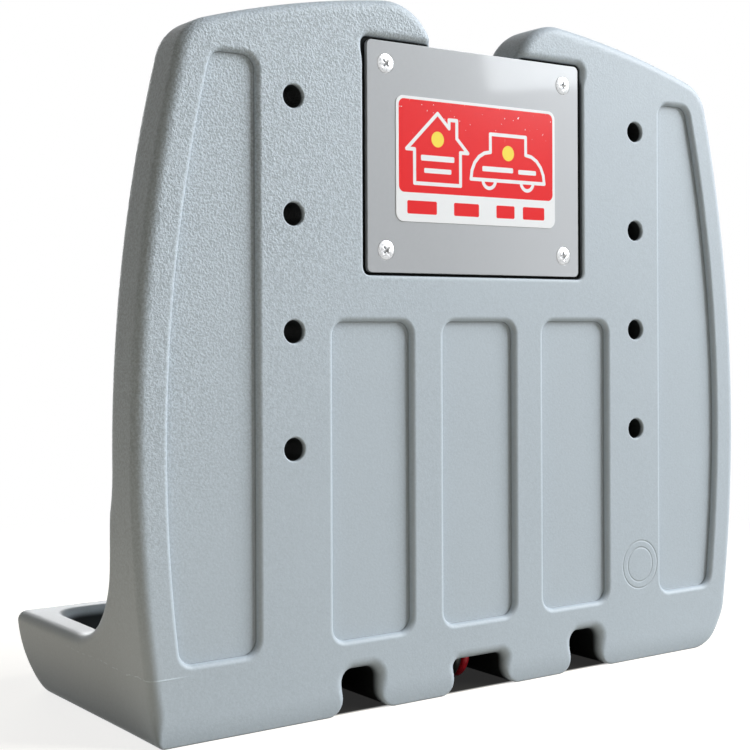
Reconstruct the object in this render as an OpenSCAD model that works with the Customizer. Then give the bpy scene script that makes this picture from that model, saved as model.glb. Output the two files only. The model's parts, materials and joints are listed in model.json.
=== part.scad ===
// Charging dock for a jump starter: a moulded upright with a tray in front of it.
// The wall side faces -Y, the tray is at +Y, +Z is up. The origin is under the middle
// of the dock, on the surface that it stands on. Depths are counted from the wall side.

/* [Housing] */
// Width of the housing where it is widest
body_w = 352; // [346:1:358]
// Height of the housing at its two shoulders
body_h = 315; // [312:1:322]
// Depth from the wall side to the front of the tray
body_d = 140; // [132:1:150]
// Thickness of the upright
upright_t = 30; // [29:0.5:33]
// Radius of the bulging sides
side_r = 680; // [640:10:760]
// Height at which the housing is widest
belly_z = 118; // [105:1:130]
// Radius of the arched top
arch_r = 490; // [450:10:540]
// Radius of the two top corners
top_corner_r = 20; // [16:1:24]
// Radius of the right-hand bottom corner, seen from the wall side
base_corner_r = 22; // [18:1:24]
// Radius of the left-hand bottom corner
left_corner_r = 3; // [2:1:24]
// Rounding of the edges on the wall side
back_edge_r = 5; // [4:0.5:8]
// Rounding of the upright's front edges
front_edge_r = 11; // [6:0.5:11]

/* [Top notch] */
// Distance from the centre line to each shoulder's peak
shoulder_x = 52.5; // [48:0.5:58]
// Radius of the shoulders
shoulder_r = 26; // [22:0.5:28]
// Depth of the notch below the shoulders
notch_h = 23; // [22:0.5:24]

/* [Tray] */
// Height of the tray's rim
rim_h = 35; // [33:1:40]
// Width of the rim at the sides and the front
rim_w = 14; // [12:1:18]
// Rounding of the rim's outer edge
rim_r = 5; // [3:0.5:6]
// Height of the tray's floor
tray_floor_z = 22; // [21.5:0.5:25]
// Radius of the sweep from the upright down to the side rims
sweep_r = 45; // [25:1:50]
// Radius of the front's lower edge
prow_r = 28; // [22:1:28]
// Radius of the tray's front corners, seen from above
plan_corner_r = 5; // [4:1:11]
// How much further out the tray's sides stand at its front than at the upright
tray_flare = 1.5; // [0:0.5:2]
// Radius of the tray's inner corners, seen from above
basin_corner_r = 12; // [6:1:16]
// Draft of the tray's inner walls
basin_draft = 3; // [2:0.5:4]
// Radius of the foot between the upright and the tray's floor
basin_foot_r = 8; // [5:0.5:10]

/* [Sunk panels] */
// Depth of the sunk panels
sunk_d = 5; // [3:0.5:6]
// Draft of their walls
sunk_draft = 1.5; // [0.5:0.25:2]
// Width of each middle sunk panel
sunk_w = 43.5; // [38:0.5:48]
// Distance between the middle sunk panels' centres
sunk_pitch = 60.5; // [56:0.5:64]
// Corner radius of the sunk panels
sunk_r = 7; // [4:0.5:9]
// Height of the sunk panels' lower edge
sunk_z = 31.5; // [28:0.5:36]
// Distance from the cover's lower edge down to the middle sunk panels' upper edge
sunk_mid_drop = 21; // [18:0.5:30]
// Distance from the shoulders' tops down to the outer sunk panels' upper edge
sunk_side_drop = 31.5; // [28:0.5:40]
// Distance from the centre line to the outer sunk panels' inner edge
sunk_side_x = 118.5; // [114:0.5:122]
// Width of the margin left outside the outer sunk panels
sunk_margin = 14.5; // [12:0.5:18]

/* [Wall holes] */
// Diameter of the wall holes
hole_d = 10; // [8:0.5:12]
// Distance between the two columns of holes
hole_span = 203; // [198:1:208]
// Distance between the holes of a column
hole_pitch = 50; // [46:1:52]
// Height of the lowest holes
hole_z = 117; // [110:1:122]
// Holes in each column
hole_rows = 4; // [2:1:4]

/* [Cord channels] */
// Distance from the centre line to the side channels
channel_x = 67; // [62:0.5:72]
// Width of the side channels
channel_w = 18; // [14:0.5:20]
// Height of the side channels
channel_h = 19; // [15:0.5:20]
// Length of the side channels, from the wall side
channel_l = 60; // [40:1:80]
// Radius of the side channels' upper corners
channel_r = 5; // [2:0.5:7]
// Width of the middle channel
lead_channel_w = 29; // [27:0.5:32]
// Height of the middle channel
lead_channel_h = 15; // [15:0.5:16]
// Length of the middle channel, from the wall side
lead_channel_l = 94; // [94:1:100]
// Radius of the middle channel's upper corners
lead_channel_r = 3; // [1:0.5:4]
// Rounding where a channel's walls run out onto the base
foot_r = 9; // [5:0.5:10]
// Diameter of the duct that takes the leads from the pocket to the middle channel
duct_d = 12; // [11:0.5:13]
// Depth of the duct's and the grommet's centre line behind the wall side
duct_y = 15; // [14.5:0.5:15.5]

/* [Cover] */
// Width of the cover plate
plate_w = 126; // [122:0.5:128]
// Height of the cover plate
plate_h = 103; // [101:0.5:104]
// Thickness of the cover plate
plate_t = 2; // [1.5:0.25:2.5]
// Corner radius of the cover plate
plate_r = 2.5; // [1:0.5:5]
// Depth of the cover's face below the wall side
plate_sink = 0.8; // [0.8:0.1:1.5]
// Distance from the shoulders' tops down to the cover's upper edge
plate_drop = 19; // [18.5:0.5:19.5]
// Gap between the cover and the housing at its left and right edges
plate_gap_x = 2.6; // [1:0.1:3]
// Gap between the cover and the housing at its upper and lower edges
plate_gap_z = 1.3; // [0.8:0.1:2]
// Distance of the cover's screws from its edges
screw_inset = 10; // [9:0.5:12]
// Width of the label
label_w = 95; // [70:0.5:95]
// Height of the label
label_h = 56.5; // [40:0.5:58]
// Corner radius of the label
label_r = 4; // [2:0.5:6]
// Thickness of the label
label_t = 0.25; // [0.1:0.05:0.4]

/* [Electronics pocket] */
// Width of the ledge that carries the cover
ledge_w = 8; // [6:0.5:9]
// Depth of the pocket's floor behind the wall side
pocket_d = 25; // [24.5:0.5:26]
// Corner radius of the pocket
pocket_r = 3; // [1:0.5:4]
// Radius of the bosses that hold the threaded inserts
boss_r = 9; // [7:0.5:9]
// Height of the board's standoffs
standoff_h = 3; // [2.5:0.5:3.5]
// Diameter of the board's standoffs
standoff_d = 7; // [6:0.5:8]
// Width of the charger board
board_w = 88; // [88:0.5:90]
// Height of the charger board
board_h = 72; // [72:0.5:73]
// Thickness of the charger board
board_t = 1.6; // [1.2:0.1:2]
// Distance of the board's screws from its edges
board_inset = 5; // [4.5:0.5:5.5]

/* [Fasteners] */
// Thread diameter of the cover's screws
screw_d = 4; // [3:0.5:4]
// Head diameter of the cover's screws
head_d = 8.8; // [8:0.1:9]
// Length of the cover's screws below their heads
screw_l = 10; // [8:0.5:12]
// Outer diameter of the threaded inserts
insert_d = 6; // [5.5:0.1:7]
// Length of the threaded inserts
insert_l = 8; // [6:0.5:8]
// Thread diameter of the small screws
small_screw_d = 2.5; // [2:0.1:3]
// Head height of the small screws
small_head_h = 1.6; // [1.2:0.1:2]
// Depth that the board's screws go into their standoffs' floor
board_screw_bite = 2; // [1.5:0.5:3]
// Depth that the contact block's screws go into the tray's floor
block_screw_bite = 7; // [5:0.5:7]
// How much deeper a small screw's hole is than its screw
pilot_spare = 1; // [0.5:0.5:1.5]
// Clearance between a screw or insert and its hole
clearance = 0.1; // [0.05:0.05:0.15]
// Clearance round a screw's shank or head where it passes through a piece
loose = 0.2; // [0.15:0.05:0.3]

/* [Grommet] */
// Diameter of the grommet's neck
grommet_neck_d = 12; // [11:0.5:12]
// Diameter of its flanges
grommet_flange_d = 18; // [16:0.5:19]
// Thickness of each flange
grommet_flange_t = 2.5; // [1.5:0.5:3]
// Diameter of its bore for the mains cord
grommet_bore_d = 8; // [6:0.5:9]

/* [Transformer] */
// Width of the core across the board
core_w = 36; // [34:1:37]
// Length of the core up the board
core_l = 30; // [28:1:31]
// Thickness of the core
core_h = 11; // [9:0.5:12]
// Gap between the board and the core
core_lift = 2; // [1.5:0.5:2]
// Width of the core's middle leg
leg_w = 12; // [10:0.5:13]
// Width of each window beside the middle leg
window_w = 6; // [5:0.5:7]
// Length of the windows
window_l = 18; // [16:0.5:20]

/* [Charger parts] */
// Diameter of the mains capacitor
mains_can_d = 13; // [10:0.5:13]
// Length of the mains capacitor
mains_can_l = 26; // [20:1:26]
// Diameter of the output capacitor
output_can_d = 10; // [8:0.5:11]
// Length of the output capacitor
output_can_l = 16; // [12:1:17]
// Outer radius of the choke
choke_r = 7; // [6:0.5:8]
// Height of the choke
choke_h = 6; // [5:0.5:8]
// Height of the rectifier's and the transistor's packages
package_h = 11; // [9:0.5:12]
// Width of the rectifier
rectifier_w = 20; // [16:0.5:21]
// Thickness of the rectifier
rectifier_t = 3.6; // [3:0.2:4.4]
// Width of the transistor
transistor_w = 8; // [7:0.5:10]
// Thickness of the transistor
transistor_t = 3.2; // [2.6:0.2:4]
// Width of the heat sink across the board
sink_w = 14; // [10:0.5:15]
// Length of the heat sink up the board
sink_l = 34; // [28:1:36]
// Height of the heat sink
sink_h = 14.5; // [12:0.5:16]
// Radius of the fuse
fuse_r = 2.5; // [2.5:0.1:2.6]
// Length of the fuse
fuse_l = 20; // [18:0.5:20]
// Height of the fuse's centre line over the board
fuse_up = 4.5; // [4:0.5:6]

/* [Terminals] */
// Length of a screw terminal along its wires
terminal_l = 8; // [7:0.5:9]
// Width of a screw terminal
terminal_w = 10.2; // [10:0.1:11]
// Height of a screw terminal
terminal_h = 10; // [9:0.5:11]
// Distance between its two poles
pole_pitch = 5; // [5:0.1:5.2]
// Diameter of its wire holes
wire_hole_d = 2.4; // [2:0.1:2.8]
// Depth of its wire holes
wire_hole_l = 5; // [4:0.5:6]
// Diameter of the wells over its screws
well_d = 3.8; // [3.4:0.1:4]
// Distance of the terminals from the board's edges
terminal_inset = 4.5; // [3:0.5:5]

/* [Leads and contacts] */
// Diameter of the leads
lead_d = 4; // [3:0.25:4]
// Distance between the two contacts
contact_pitch = 13; // [13:0.5:14]
// Depth of the contacts behind the wall side
contact_y = 78; // [78:1:80]
// Width of the contact block's flange
block_w = 54; // [50:1:60]
// Depth of the contact block's flange
block_l = 26; // [24:1:30]
// Thickness of the contact block's flange
block_t = 3; // [2.5:0.5:4]
// Corner radius of the flange
block_r = 4; // [2:0.5:6]
// Distance of the block's screws from the flange's ends
block_screw_inset = 6; // [5:0.5:7]
// Depth of the block's plug, which fills a slot in the tray's floor
plug_l = 16; // [15:0.5:18]
// Gap between the plug and its slot
plug_gap = 0.15; // [0.1:0.05:0.3]
// Diameter of the contacts' studs
stud_d = 5; // [4:0.5:5]
// Radius of the contacts' heads
contact_r = 4; // [3.5:0.1:4.5]
// Height of the contacts' heads
contact_h = 3; // [2.5:0.1:4]
// Thickness of the ring lugs
lug_t = 1; // [0.8:0.1:1.2]
// Radius of the ring lugs
lug_r = 4.2; // [4:0.1:4.5]
// Distance from a contact to the end of its lead
lug_l = 12; // [11:0.5:13]
// Radius of a lug's barrel
barrel_r = 1.8; // [1.6:0.1:2]
// Height of the nuts
nut_h = 3.2; // [2.8:0.1:4]
// Width of the nuts across their corners
nut_w = 9.2; // [8.8:0.1:9.4]

/* [Hidden] */
$fn = 48;
// How far a cutting shape reaches past the face that it opens
past = 1;
// How far two shapes of one solid reach into each other
lap = 0.5;
// Steps round the housing's outline, in order from the base to the notch
base_steps = 6;
low_side_steps = 4;
high_side_steps = 9;
corner_steps = 5;
arch_steps = 8;
shoulder_steps = 6;
// Steps round a sunk panel's corner, along its curved side, and round a channel's corner and foot
panel_steps = 5;
panel_side_steps = 12;
foot_steps = 6;
// Sides of a lead
lead_sides = 10;

// Outline of the housing, seen from the wall side
side_c = [body_w / 2 - side_r, belly_z];
shoulder_c = [shoulder_x, body_h - shoulder_r];
arch_c = [0, shoulder_c.y - sqrt(pow(arch_r - shoulder_r, 2) - pow(shoulder_x, 2))];
top_corner_c = circles_meet(side_c, side_r - top_corner_r, arch_c, arch_r - top_corner_r);
notch_z = body_h - notch_h;
sweep_top_z = rim_h + sweep_r;
split_angle = asin((sweep_top_z - belly_z) / side_r);
side_end = direction(side_c, top_corner_c);
corner_end = direction(arch_c, top_corner_c);
arch_end = direction(arch_c, shoulder_c);

// Cover and pocket
rebate_d = plate_sink + plate_t;
plate_z = body_h - plate_drop - plate_h / 2;
rebate_w = plate_w + 2 * plate_gap_x;
rebate_h = plate_h + 2 * plate_gap_z;
pocket_w = rebate_w - 2 * ledge_w;
pocket_h = rebate_h - 2 * ledge_w;
pocket_top_z = plate_z + pocket_h / 2;
screw_x = plate_w / 2 - screw_inset;
screw_z = plate_h / 2 - screw_inset;
insert_bore_d = screw_l + 3;

sunk_mid_top_z = plate_z - plate_h / 2 - sunk_mid_drop;

// Board: its parts stand on the face that looks at the cover
board_face = pocket_d - standoff_h - board_t;
board_x = board_w / 2 - board_inset;
board_z = board_h / 2 - board_inset;
wire_up = board_face - duct_y;
out_terminal_z = plate_z - board_h / 2 + terminal_inset;
in_terminal_z = plate_z + board_h / 2 - terminal_inset - terminal_l;

// Places on the board, across and up from its middle, each kept at its distance from the edges
transformer_at = [24 - board_w / 2, 0];
rectifier_at = [24 - board_w / 2, board_h / 2 - 14.5];
output_can_at = [20 - board_w / 2, 13 - board_h / 2];
choke_at = [board_w / 2 - 30, 16 - board_h / 2];
mains_can_at = [board_w / 2 - 32, 5];
sink_at = [board_w / 2 - 11, 27.5 - board_h / 2];
fuse_at = [board_w / 2 - 20, board_h / 2 - 10.5];

// Contact block: its plug fills a slot in the tray's floor, over the middle channel
plug_margin = 1.5;
plug_w = lead_channel_w - 2 * plug_margin;
plug_z = lead_channel_h - 1;
block_top_z = tray_floor_z + block_t;
block_screw_x = block_w / 2 - block_screw_inset;
lead_end_y = contact_y - lug_l;
lead_end_z = plug_z - lead_d / 2;
stud_end_z = plug_z - lug_t - nut_h - 1;

// Route of the right lead: place across, depth, height. It drops from its terminal through the duct,
// bends forwards along the middle channel, a little above the base, and rises to its lug.
lead_low_z = lead_d / 2 + 1;
lead_bend_z = 2 * lead_channel_h;
lead_drop = [for (k = [0 : 5])
    [pole_pitch / 2, duct_y, out_terminal_z + (lead_bend_z - out_terminal_z) * k / 5]];
lead_bend = [for (p = [[0, 13], [0.5, 8], [2.5, 4], [6, 1], [11, 0], [19, 0]])
    [pole_pitch / 2, duct_y + p.x, lead_low_z + p.y]];
lead_rise = [for (p = [[24, 0.125, 0.055], [16, 0.5, 0.333], [9, 0.875, 0.778], [4, 1, 1], [0, 1, 1]])
    [pole_pitch / 2 + (contact_pitch - pole_pitch) / 2 * p.y, lead_end_y - p.x,
     lead_low_z + (lead_end_z - lead_low_z) * p.z]];
route = concat(lead_drop, lead_bend, lead_rise);

// Direction in degrees from one point to another
function direction(a, b) = atan2(b.y - a.y, b.x - a.x);
// The meeting point, up and to the right, of two circles
function circles_meet(a, ra, b, rb) =
    let (gap = norm(b - a), u = (b - a) / gap, along = (ra * ra - rb * rb + gap * gap) / (2 * gap),
         out = sqrt(ra * ra - along * along), p = a + along * u)
    let (q1 = p + out * [-u.y, u.x], q2 = p - out * [-u.y, u.x])
    q1.x > q2.x ? q1 : q2;
// Distance of the side from the centre line at height z, moved inwards by a
function side_x(z, a = 0) = side_c.x + sqrt(pow(side_r - a, 2) - pow(z - belly_z, 2));
// Points of an arc, both ends included
function arc(c, r, from, to, n) =
    [for (i = [0 : n]) let (t = from + (to - from) * i / n) c + r * [cos(t), sin(t)]];
// A list without its first point
function tail(v) = [for (i = [1 : len(v) - 1]) v[i]];
// Centre of a bottom corner of radius r, and the angle at which it runs into the side
function base_corner_c(r) = [side_x(r, r), r];
function base_end(r) = direction(side_c, base_corner_c(r));
// Share of the wall side's rounding at height z: the edge is nearly sharp along the base
back_rise = 14;
base_share = 0.15;
function back_share(z) = base_share + (1 - base_share) * min(1, max(0, z / back_rise));
// Share of the front rounding at height z: none where the side runs on into the tray
front_fade = 25;
function front_share(z) = min(1, max(0, (z - sweep_top_z) / front_fade));
// Points of an arc, moved inwards by the wall side's share of a and the front's share of f. A third
// number with each point is its share of the wall side's rounding.
function inset_arc(c, r, from, to, n, a, f) =
    [for (i = [0 : n])
        let (t = from + (to - from) * i / n, p = c + r * [cos(t), sin(t)], share = back_share(p.y),
             q = p - (a * share + f * front_share(p.y)) * [cos(t), sin(t)])
        [q.x, q.y, share]];
// End angle of a shoulder that is moved inwards by a
function shoulder_end(a) = 180 - asin((notch_z - a - shoulder_c.y) / (shoulder_r - a));

// Half outline of the upright: a is the inset on the wall side, f that of the front edge, b the radius
// of the bottom corner
function upright_half(a, f, b) = concat(
    inset_arc(base_corner_c(b), b, -90, base_end(b), base_steps, a, f),
    tail(inset_arc(side_c, side_r, base_end(b), split_angle, low_side_steps, a, f)),
    tail(inset_arc(side_c, side_r, split_angle, side_end, high_side_steps, a, f)),
    tail(inset_arc(top_corner_c, top_corner_r, side_end, corner_end, corner_steps, a, f)),
    tail(inset_arc(arch_c, arch_r, corner_end, arch_end, arch_steps, a, f)),
    tail(inset_arc(shoulder_c, shoulder_r, arch_end, shoulder_end(a + f), shoulder_steps, a, f)));

// Height of the side rim at depth y: the sweep below the upright, the rim, its front rounding
function rim_z(y) =
    y < upright_t + sweep_r ? rim_h + sweep_r - sqrt(pow(sweep_r, 2) - pow(upright_t + sweep_r - y, 2))
    : y > body_d - rim_r ? rim_h - rim_r + sqrt(max(0, pow(rim_r, 2) - pow(y - body_d + rim_r, 2)))
    : rim_h;
// Height of the underside at depth y: flat, then the rounded prow
function under_z(y) =
    y > body_d - prow_r ? prow_r - sqrt(max(0, pow(prow_r, 2) - pow(y - body_d + prow_r, 2))) : 0;
// How far the tray's outer side draws in at depth y round its front corner, less its flare
function draw_in(y) =
    (y > body_d - plan_corner_r
     ? plan_corner_r - sqrt(max(0, pow(plan_corner_r, 2) - pow(y - body_d + plan_corner_r, 2))) : 0)
    - tray_flare * (y - upright_t) / (body_d - upright_t);
// Half width of the basin at depth y, with its rounded corners
function basin_x(y) =
    let (r = basin_corner_r, back = max(0, upright_t + r - y), front = max(0, y - (body_d - rim_w - r)),
         edge = min(r, max(back, front)))
    side_x(rim_h) - rim_w - r + sqrt(r * r - edge * edge);
// Height of the basin's floor at depth y, with its rounded foot and its front wall
wall_depth = body_d - rim_w;
front_rise = basin_draft + 2;
function basin_z(y) =
    let (r = basin_foot_r, back = max(0, upright_t + r - y),
         rise = min(1, max(0, (y - wall_depth + front_rise) / front_rise)))
    min(rim_z(y), y < upright_t + r ? tray_floor_z + r - sqrt(r * r - back * back)
        : tray_floor_z + (rim_h - tray_floor_z) * rise * rise);

// Half outline of the tray at depth y, with as many points as the upright's and bottom corners of radius b
function tray_half(y, b) =
    let (top = rim_z(y), low = under_z(y), k = (top - low) / top, sx = 1 - draw_in(y) / (body_w / 2),
         r = min(rim_r, (top - low) / 2), shoulder = top - r, bx = basin_x(y), bz = basin_z(y),
         edge_x = side_x(shoulder) * sx, edge_steps = 4,
         arc_end = b + b * sin(base_end(b)),
         floor_steps = arch_steps + shoulder_steps)
    concat(
        [for (p = arc(base_corner_c(b), b, -90, base_end(b), base_steps)) [p.x * sx, low + p.y * k]],
        [for (i = [1 : low_side_steps])
            let (z = arc_end + ((shoulder - low) / k - arc_end) * i / low_side_steps)
            [side_x(z) * sx, low + z * k]],
        [for (i = [1 : edge_steps])
            [edge_x - r + r * cos(90 * i / edge_steps), shoulder + r * sin(90 * i / edge_steps)]],
        [for (i = [1 : high_side_steps - edge_steps])
            [edge_x - r + (bx - edge_x + r) * i / (high_side_steps - edge_steps), top]],
        [for (i = [1 : corner_steps])
            [bx - basin_draft * i / corner_steps, top + (bz - top) * i / corner_steps]],
        [for (i = [1 : floor_steps])
            [(bx - basin_draft) * (1 - i / (floor_steps + 1)), bz]]);

// A right-hand half outline and a left-hand one, drawn as if on the right, joined to a whole
function joined(right, left) =
    concat(right, [for (i = [len(left) - 1 : -1 : 0]) [-left[i].x, left[i].y, left[i].z]]);
function upright_outline(a, f) =
    joined(upright_half(a, f, base_corner_r), upright_half(a, f, left_corner_r));
function tray_outline(y) = joined(tray_half(y, base_corner_r), tray_half(y, left_corner_r));
// A ring of points at depth y, or each at its share of that depth
function at_depth(ring, y) = [for (p = ring) [p.x, y, p.y]];
function at_share(ring, y) = [for (p = ring) [p.x, y * p.z, p.y]];
// Depths at which the tray's outline is taken: just past the upright, along the sweep, at the front
tray_start = upright_t + 0.2;
sweep_depths = [for (t = [8 : 13.6 : 90]) upright_t + sweep_r * (1 - cos(t))];
front_depths = [for (t = [0 : 15 : 90]) body_d - plan_corner_r * (1 - sin(t))];
tray_depths = concat(
    [tray_start], sweep_depths,
    [body_d - prow_r, wall_depth - front_rise, wall_depth - 0.4 * front_rise, wall_depth,
     (wall_depth + body_d - plan_corner_r) / 2], front_depths);

// The housing's skin, ring by ring from the wall side to the tray's front. Its first ring lies behind
// the wall side by the trim, on the slope of the first rounding step, and is then cut off flat.
edge_step = 22.5;
trim = 0.25;
skin = concat(
    [at_depth(upright_outline(back_edge_r + trim * sin(edge_step) / (1 - cos(edge_step)), 0), -trim)],
    [for (t = [edge_step : edge_step : 90])
        at_share(upright_outline(back_edge_r * (1 - sin(t)), 0), back_edge_r * (1 - cos(t)))],
    [for (t = [0 : edge_step : 90])
        at_depth(upright_outline(0, front_edge_r * (1 - cos(t))), upright_t - front_edge_r * (1 - sin(t)))],
    [for (y = tray_depths) at_depth(tray_outline(y), y)]);

// A closed solid through rings of equally many points
module loft(rings) {
    n = len(rings[0]);
    last = len(rings) - 1;
    polyhedron(
        points = [for (r = rings) for (p = r) p],
        faces = concat(
            [[for (i = [n - 1 : -1 : 0]) i]],
            [for (k = [0 : last - 1]) for (i = [0 : n - 1])
                for (f = [[k * n + i, k * n + (i + 1) % n, (k + 1) * n + (i + 1) % n],
                          [k * n + i, (k + 1) * n + (i + 1) % n, (k + 1) * n + i]]) f],
            [[for (i = [0 : n - 1]) last * n + i]]),
        convexity = 8);
}

// Children drawn in depths from the wall side are moved to the part's own frame
module from_wall() {
    translate([0, -body_d / 2, 0]) children();
}

// A flat shape drawn across and up, given a thickness from depth y
module slab(y, t) {
    translate([0, y + t, 0]) rotate([90, 0, 0]) linear_extrude(t) children();
}

// A rectangle with rounded corners, centred
module rounded(w, h, r) {
    square([w - 2 * r, h], center = true);
    square([w, h - 2 * r], center = true);
    for (x = [-1, 1]) for (y = [-1, 1]) translate([x * (w / 2 - r), y * (h / 2 - r)]) circle(r);
}

// Children at the four corners of a rectangle, across and up
module at_corners(x, z) {
    for (i = [-1, 1]) for (k = [-1, 1]) translate([i * x, 0, k * z]) children();
}

// Outline of a middle sunk panel, moved inwards by a
function sunk_middle(a) =
    let (w = sunk_w / 2 - a, lo = sunk_z + a, hi = sunk_mid_top_z - a, r = sunk_r - a, n = panel_steps)
    concat(arc([w - r, lo + r], r, -90, 0, n), arc([w - r, hi - r], r, 0, 90, n),
           arc([r - w, hi - r], r, 90, 180, n), arc([r - w, lo + r], r, 180, 270, n));
// Outline of the right-hand outer sunk panel, moved inwards by a: its outer edge follows the side
function sunk_side(a) =
    let (inset = sunk_margin + a, x = sunk_side_x + a, lo = sunk_z + a, hi = body_h - sunk_side_drop - a,
         r = sunk_r - a, n = panel_steps,
         low_c = [side_x(lo + r, inset + r), lo + r], high_c = [side_x(hi - r, inset + r), hi - r],
         t0 = direction(side_c, low_c), t1 = direction(side_c, high_c))
    concat(arc([x + r, lo + r], r, 180, 270, n), arc(low_c, r, -90, t0, n),
           tail(arc(side_c, side_r - inset, t0, t1, panel_side_steps)), tail(arc(high_c, r, t1, 90, n)),
           arc([x + r, hi - r], r, 90, 180, n));

// A sunk panel's cutter: wider past the wall side by the flare, drawing in to its floor by the draft
sunk_flare = -sunk_draft * past / sunk_d;
module sunk(outer, floor_ring) {
    loft([at_depth(outer, -past), at_depth(floor_ring, sunk_d)]);
}

// Cross-section of a cord channel, open at the base with rounded feet
module channel_section(w, h, r) {
    n = foot_steps;
    polygon(concat(
        [[-w / 2 - foot_r, -past], [w / 2 + foot_r, -past]],
        arc([w / 2 + foot_r, foot_r], foot_r, 270, 180, n),
        arc([w / 2 - r, h - r], r, 0, 90, n), arc([r - w / 2, h - r], r, 90, 180, n),
        arc([-w / 2 - foot_r, foot_r], foot_r, 0, -90, n)));
}

// Pocket behind the cover: the corners keep bosses for the inserts
module pocket_section() {
    difference() {
        rounded(pocket_w, pocket_h, pocket_r);
        for (x = [-1, 1]) for (z = [-1, 1]) translate([x * screw_x, z * screw_z]) {
            circle(boss_r);
            translate([x > 0 ? 0 : -boss_r, -boss_r]) square([boss_r, 2 * boss_r]);
            translate([-boss_r, z > 0 ? 0 : -boss_r]) square([2 * boss_r, boss_r]);
        }
    }
}

module wall_holes() {
    for (x = [-1, 1]) for (k = [0 : hole_rows - 1])
        translate([x * hole_span / 2, -past, hole_z + k * hole_pitch])
            rotate([-90, 0, 0]) cylinder(d = hole_d, h = upright_t + 2 * past);
}

module dock_body() {
    color("lightslategray") from_wall() difference() {
        loft(skin);
        translate([-body_w, -2 * past, -past]) cube([2 * body_w, 2 * past, body_h + 2 * past]);
        for (x = [-1 : 1])
            translate([x * sunk_pitch, 0, 0]) sunk(sunk_middle(sunk_flare), sunk_middle(sunk_draft));
        sunk(sunk_side(sunk_flare), sunk_side(sunk_draft));
        mirror([1, 0, 0]) sunk(sunk_side(sunk_flare), sunk_side(sunk_draft));
        wall_holes();
        for (x = [-1, 1]) translate([x * channel_x, 0, 0])
            slab(-past, channel_l + past) channel_section(channel_w, channel_h, channel_r);
        slab(-past, lead_channel_l + past) channel_section(lead_channel_w, lead_channel_h, lead_channel_r);
        translate([0, 0, plate_z]) {
            slab(-past, rebate_d + past) rounded(rebate_w, rebate_h, plate_r + 1);
            difference() {
                slab(rebate_d - lap, pocket_d - rebate_d + lap) pocket_section();
                at_corners(board_x, board_z)
                    slab(pocket_d - standoff_h, standoff_h + past) circle(d = standoff_d);
            }
            at_corners(board_x, board_z)
                slab(pocket_d - standoff_h - past, past + standoff_h + board_screw_bite + pilot_spare)
                    circle(d = small_screw_d + 2 * clearance);
            at_corners(screw_x, screw_z)
                slab(0, rebate_d + insert_bore_d) circle(d = insert_d + 2 * clearance);
        }
        translate([0, duct_y, lead_channel_h - past])
            cylinder(d = duct_d, h = plate_z - pocket_h / 2 - lead_channel_h + 2 * past);
        translate([0, duct_y, pocket_top_z - past])
            cylinder(d = grommet_neck_d + 2 * clearance, h = notch_z - pocket_top_z + 2 * past);
        translate([-plug_w / 2, contact_y - plug_l / 2, lead_channel_h - past])
            cube([plug_w, plug_l, tray_floor_z - lead_channel_h + 2 * past]);
        for (x = [-1, 1])
            translate([x * block_screw_x, contact_y, tray_floor_z - block_screw_bite - pilot_spare])
                cylinder(d = small_screw_d + 2 * clearance, h = block_screw_bite + pilot_spare + past);
    }
}

module cover_plate() {
    sink_d = head_d + 2 * loose;
    color("silver") from_wall() translate([0, 0, plate_z]) difference() {
        slab(plate_sink, plate_t) rounded(plate_w, plate_h, plate_r);
        at_corners(screw_x, screw_z) translate([0, plate_sink - past, 0]) rotate([-90, 0, 0])
            cylinder(d1 = sink_d + 2 * past, d2 = sink_d - 2 * plate_t - 2 * past, h = plate_t + 2 * past);
    }
}

module label() {
    color("crimson") from_wall() translate([0, 0, plate_z])
        slab(plate_sink - label_t, label_t) rounded(label_w, label_h, label_r);
}

// A raised countersunk screw that points along +Y, its head's rim at the origin
module cover_screw() {
    rise = 0.7;
    edge = 0.15;
    shank_r = screw_d / 2 - clearance;
    arm = head_d * 0.3;
    slot_w = 0.8;
    slot_d = 0.9;
    difference() {
        rotate([-90, 0, 0]) rotate_extrude() polygon([
            [0, -rise], [head_d * 0.28, -rise * 0.8], [head_d / 2 - edge, -rise * 0.15], [head_d / 2, edge],
            [shank_r, plate_t - clearance], [shank_r, screw_l], [0, screw_l]]);
        for (t = [45, 135]) rotate([0, t, 0])
            translate([-arm, -past, -slot_w / 2]) cube([2 * arm, past + slot_d, slot_w]);
    }
}

module cover_screws() {
    color("gainsboro") from_wall() translate([0, plate_sink, plate_z])
        at_corners(screw_x, screw_z) cover_screw();
}

module threaded_inserts() {
    color("goldenrod") from_wall() translate([0, 0, plate_z]) at_corners(screw_x, screw_z) difference() {
        slab(rebate_d, insert_l) circle(d = insert_d);
        slab(rebate_d - past, insert_l + 2 * past) circle(d = screw_d);
    }
}

module mains_grommet() {
    wall_t = notch_z - pocket_top_z;
    color("dimgray") from_wall() translate([0, duct_y, pocket_top_z]) rotate_extrude() polygon([
        [grommet_bore_d / 2, -grommet_flange_t], [grommet_flange_d / 2, -grommet_flange_t],
        [grommet_flange_d / 2, 0], [grommet_neck_d / 2, 0], [grommet_neck_d / 2, wall_t],
        [grommet_flange_d / 2, wall_t], [grommet_flange_d / 2 - 1, wall_t + grommet_flange_t],
        [grommet_bore_d / 2, wall_t + grommet_flange_t]]);
}

// Places a part on the board: its own X across, Y up the dock, Z towards the cover
module on_board(x, z) {
    translate([x, board_face - body_d / 2, plate_z + z]) rotate([90, 0, 0]) children();
}

module charger_board() {
    color("darkgreen") from_wall() translate([0, 0, plate_z]) difference() {
        slab(board_face, board_t) square([board_w, board_h], center = true);
        at_corners(board_x, board_z)
            slab(board_face - past, board_t + 2 * past) circle(d = small_screw_d + 2 * loose);
    }
}

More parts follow.
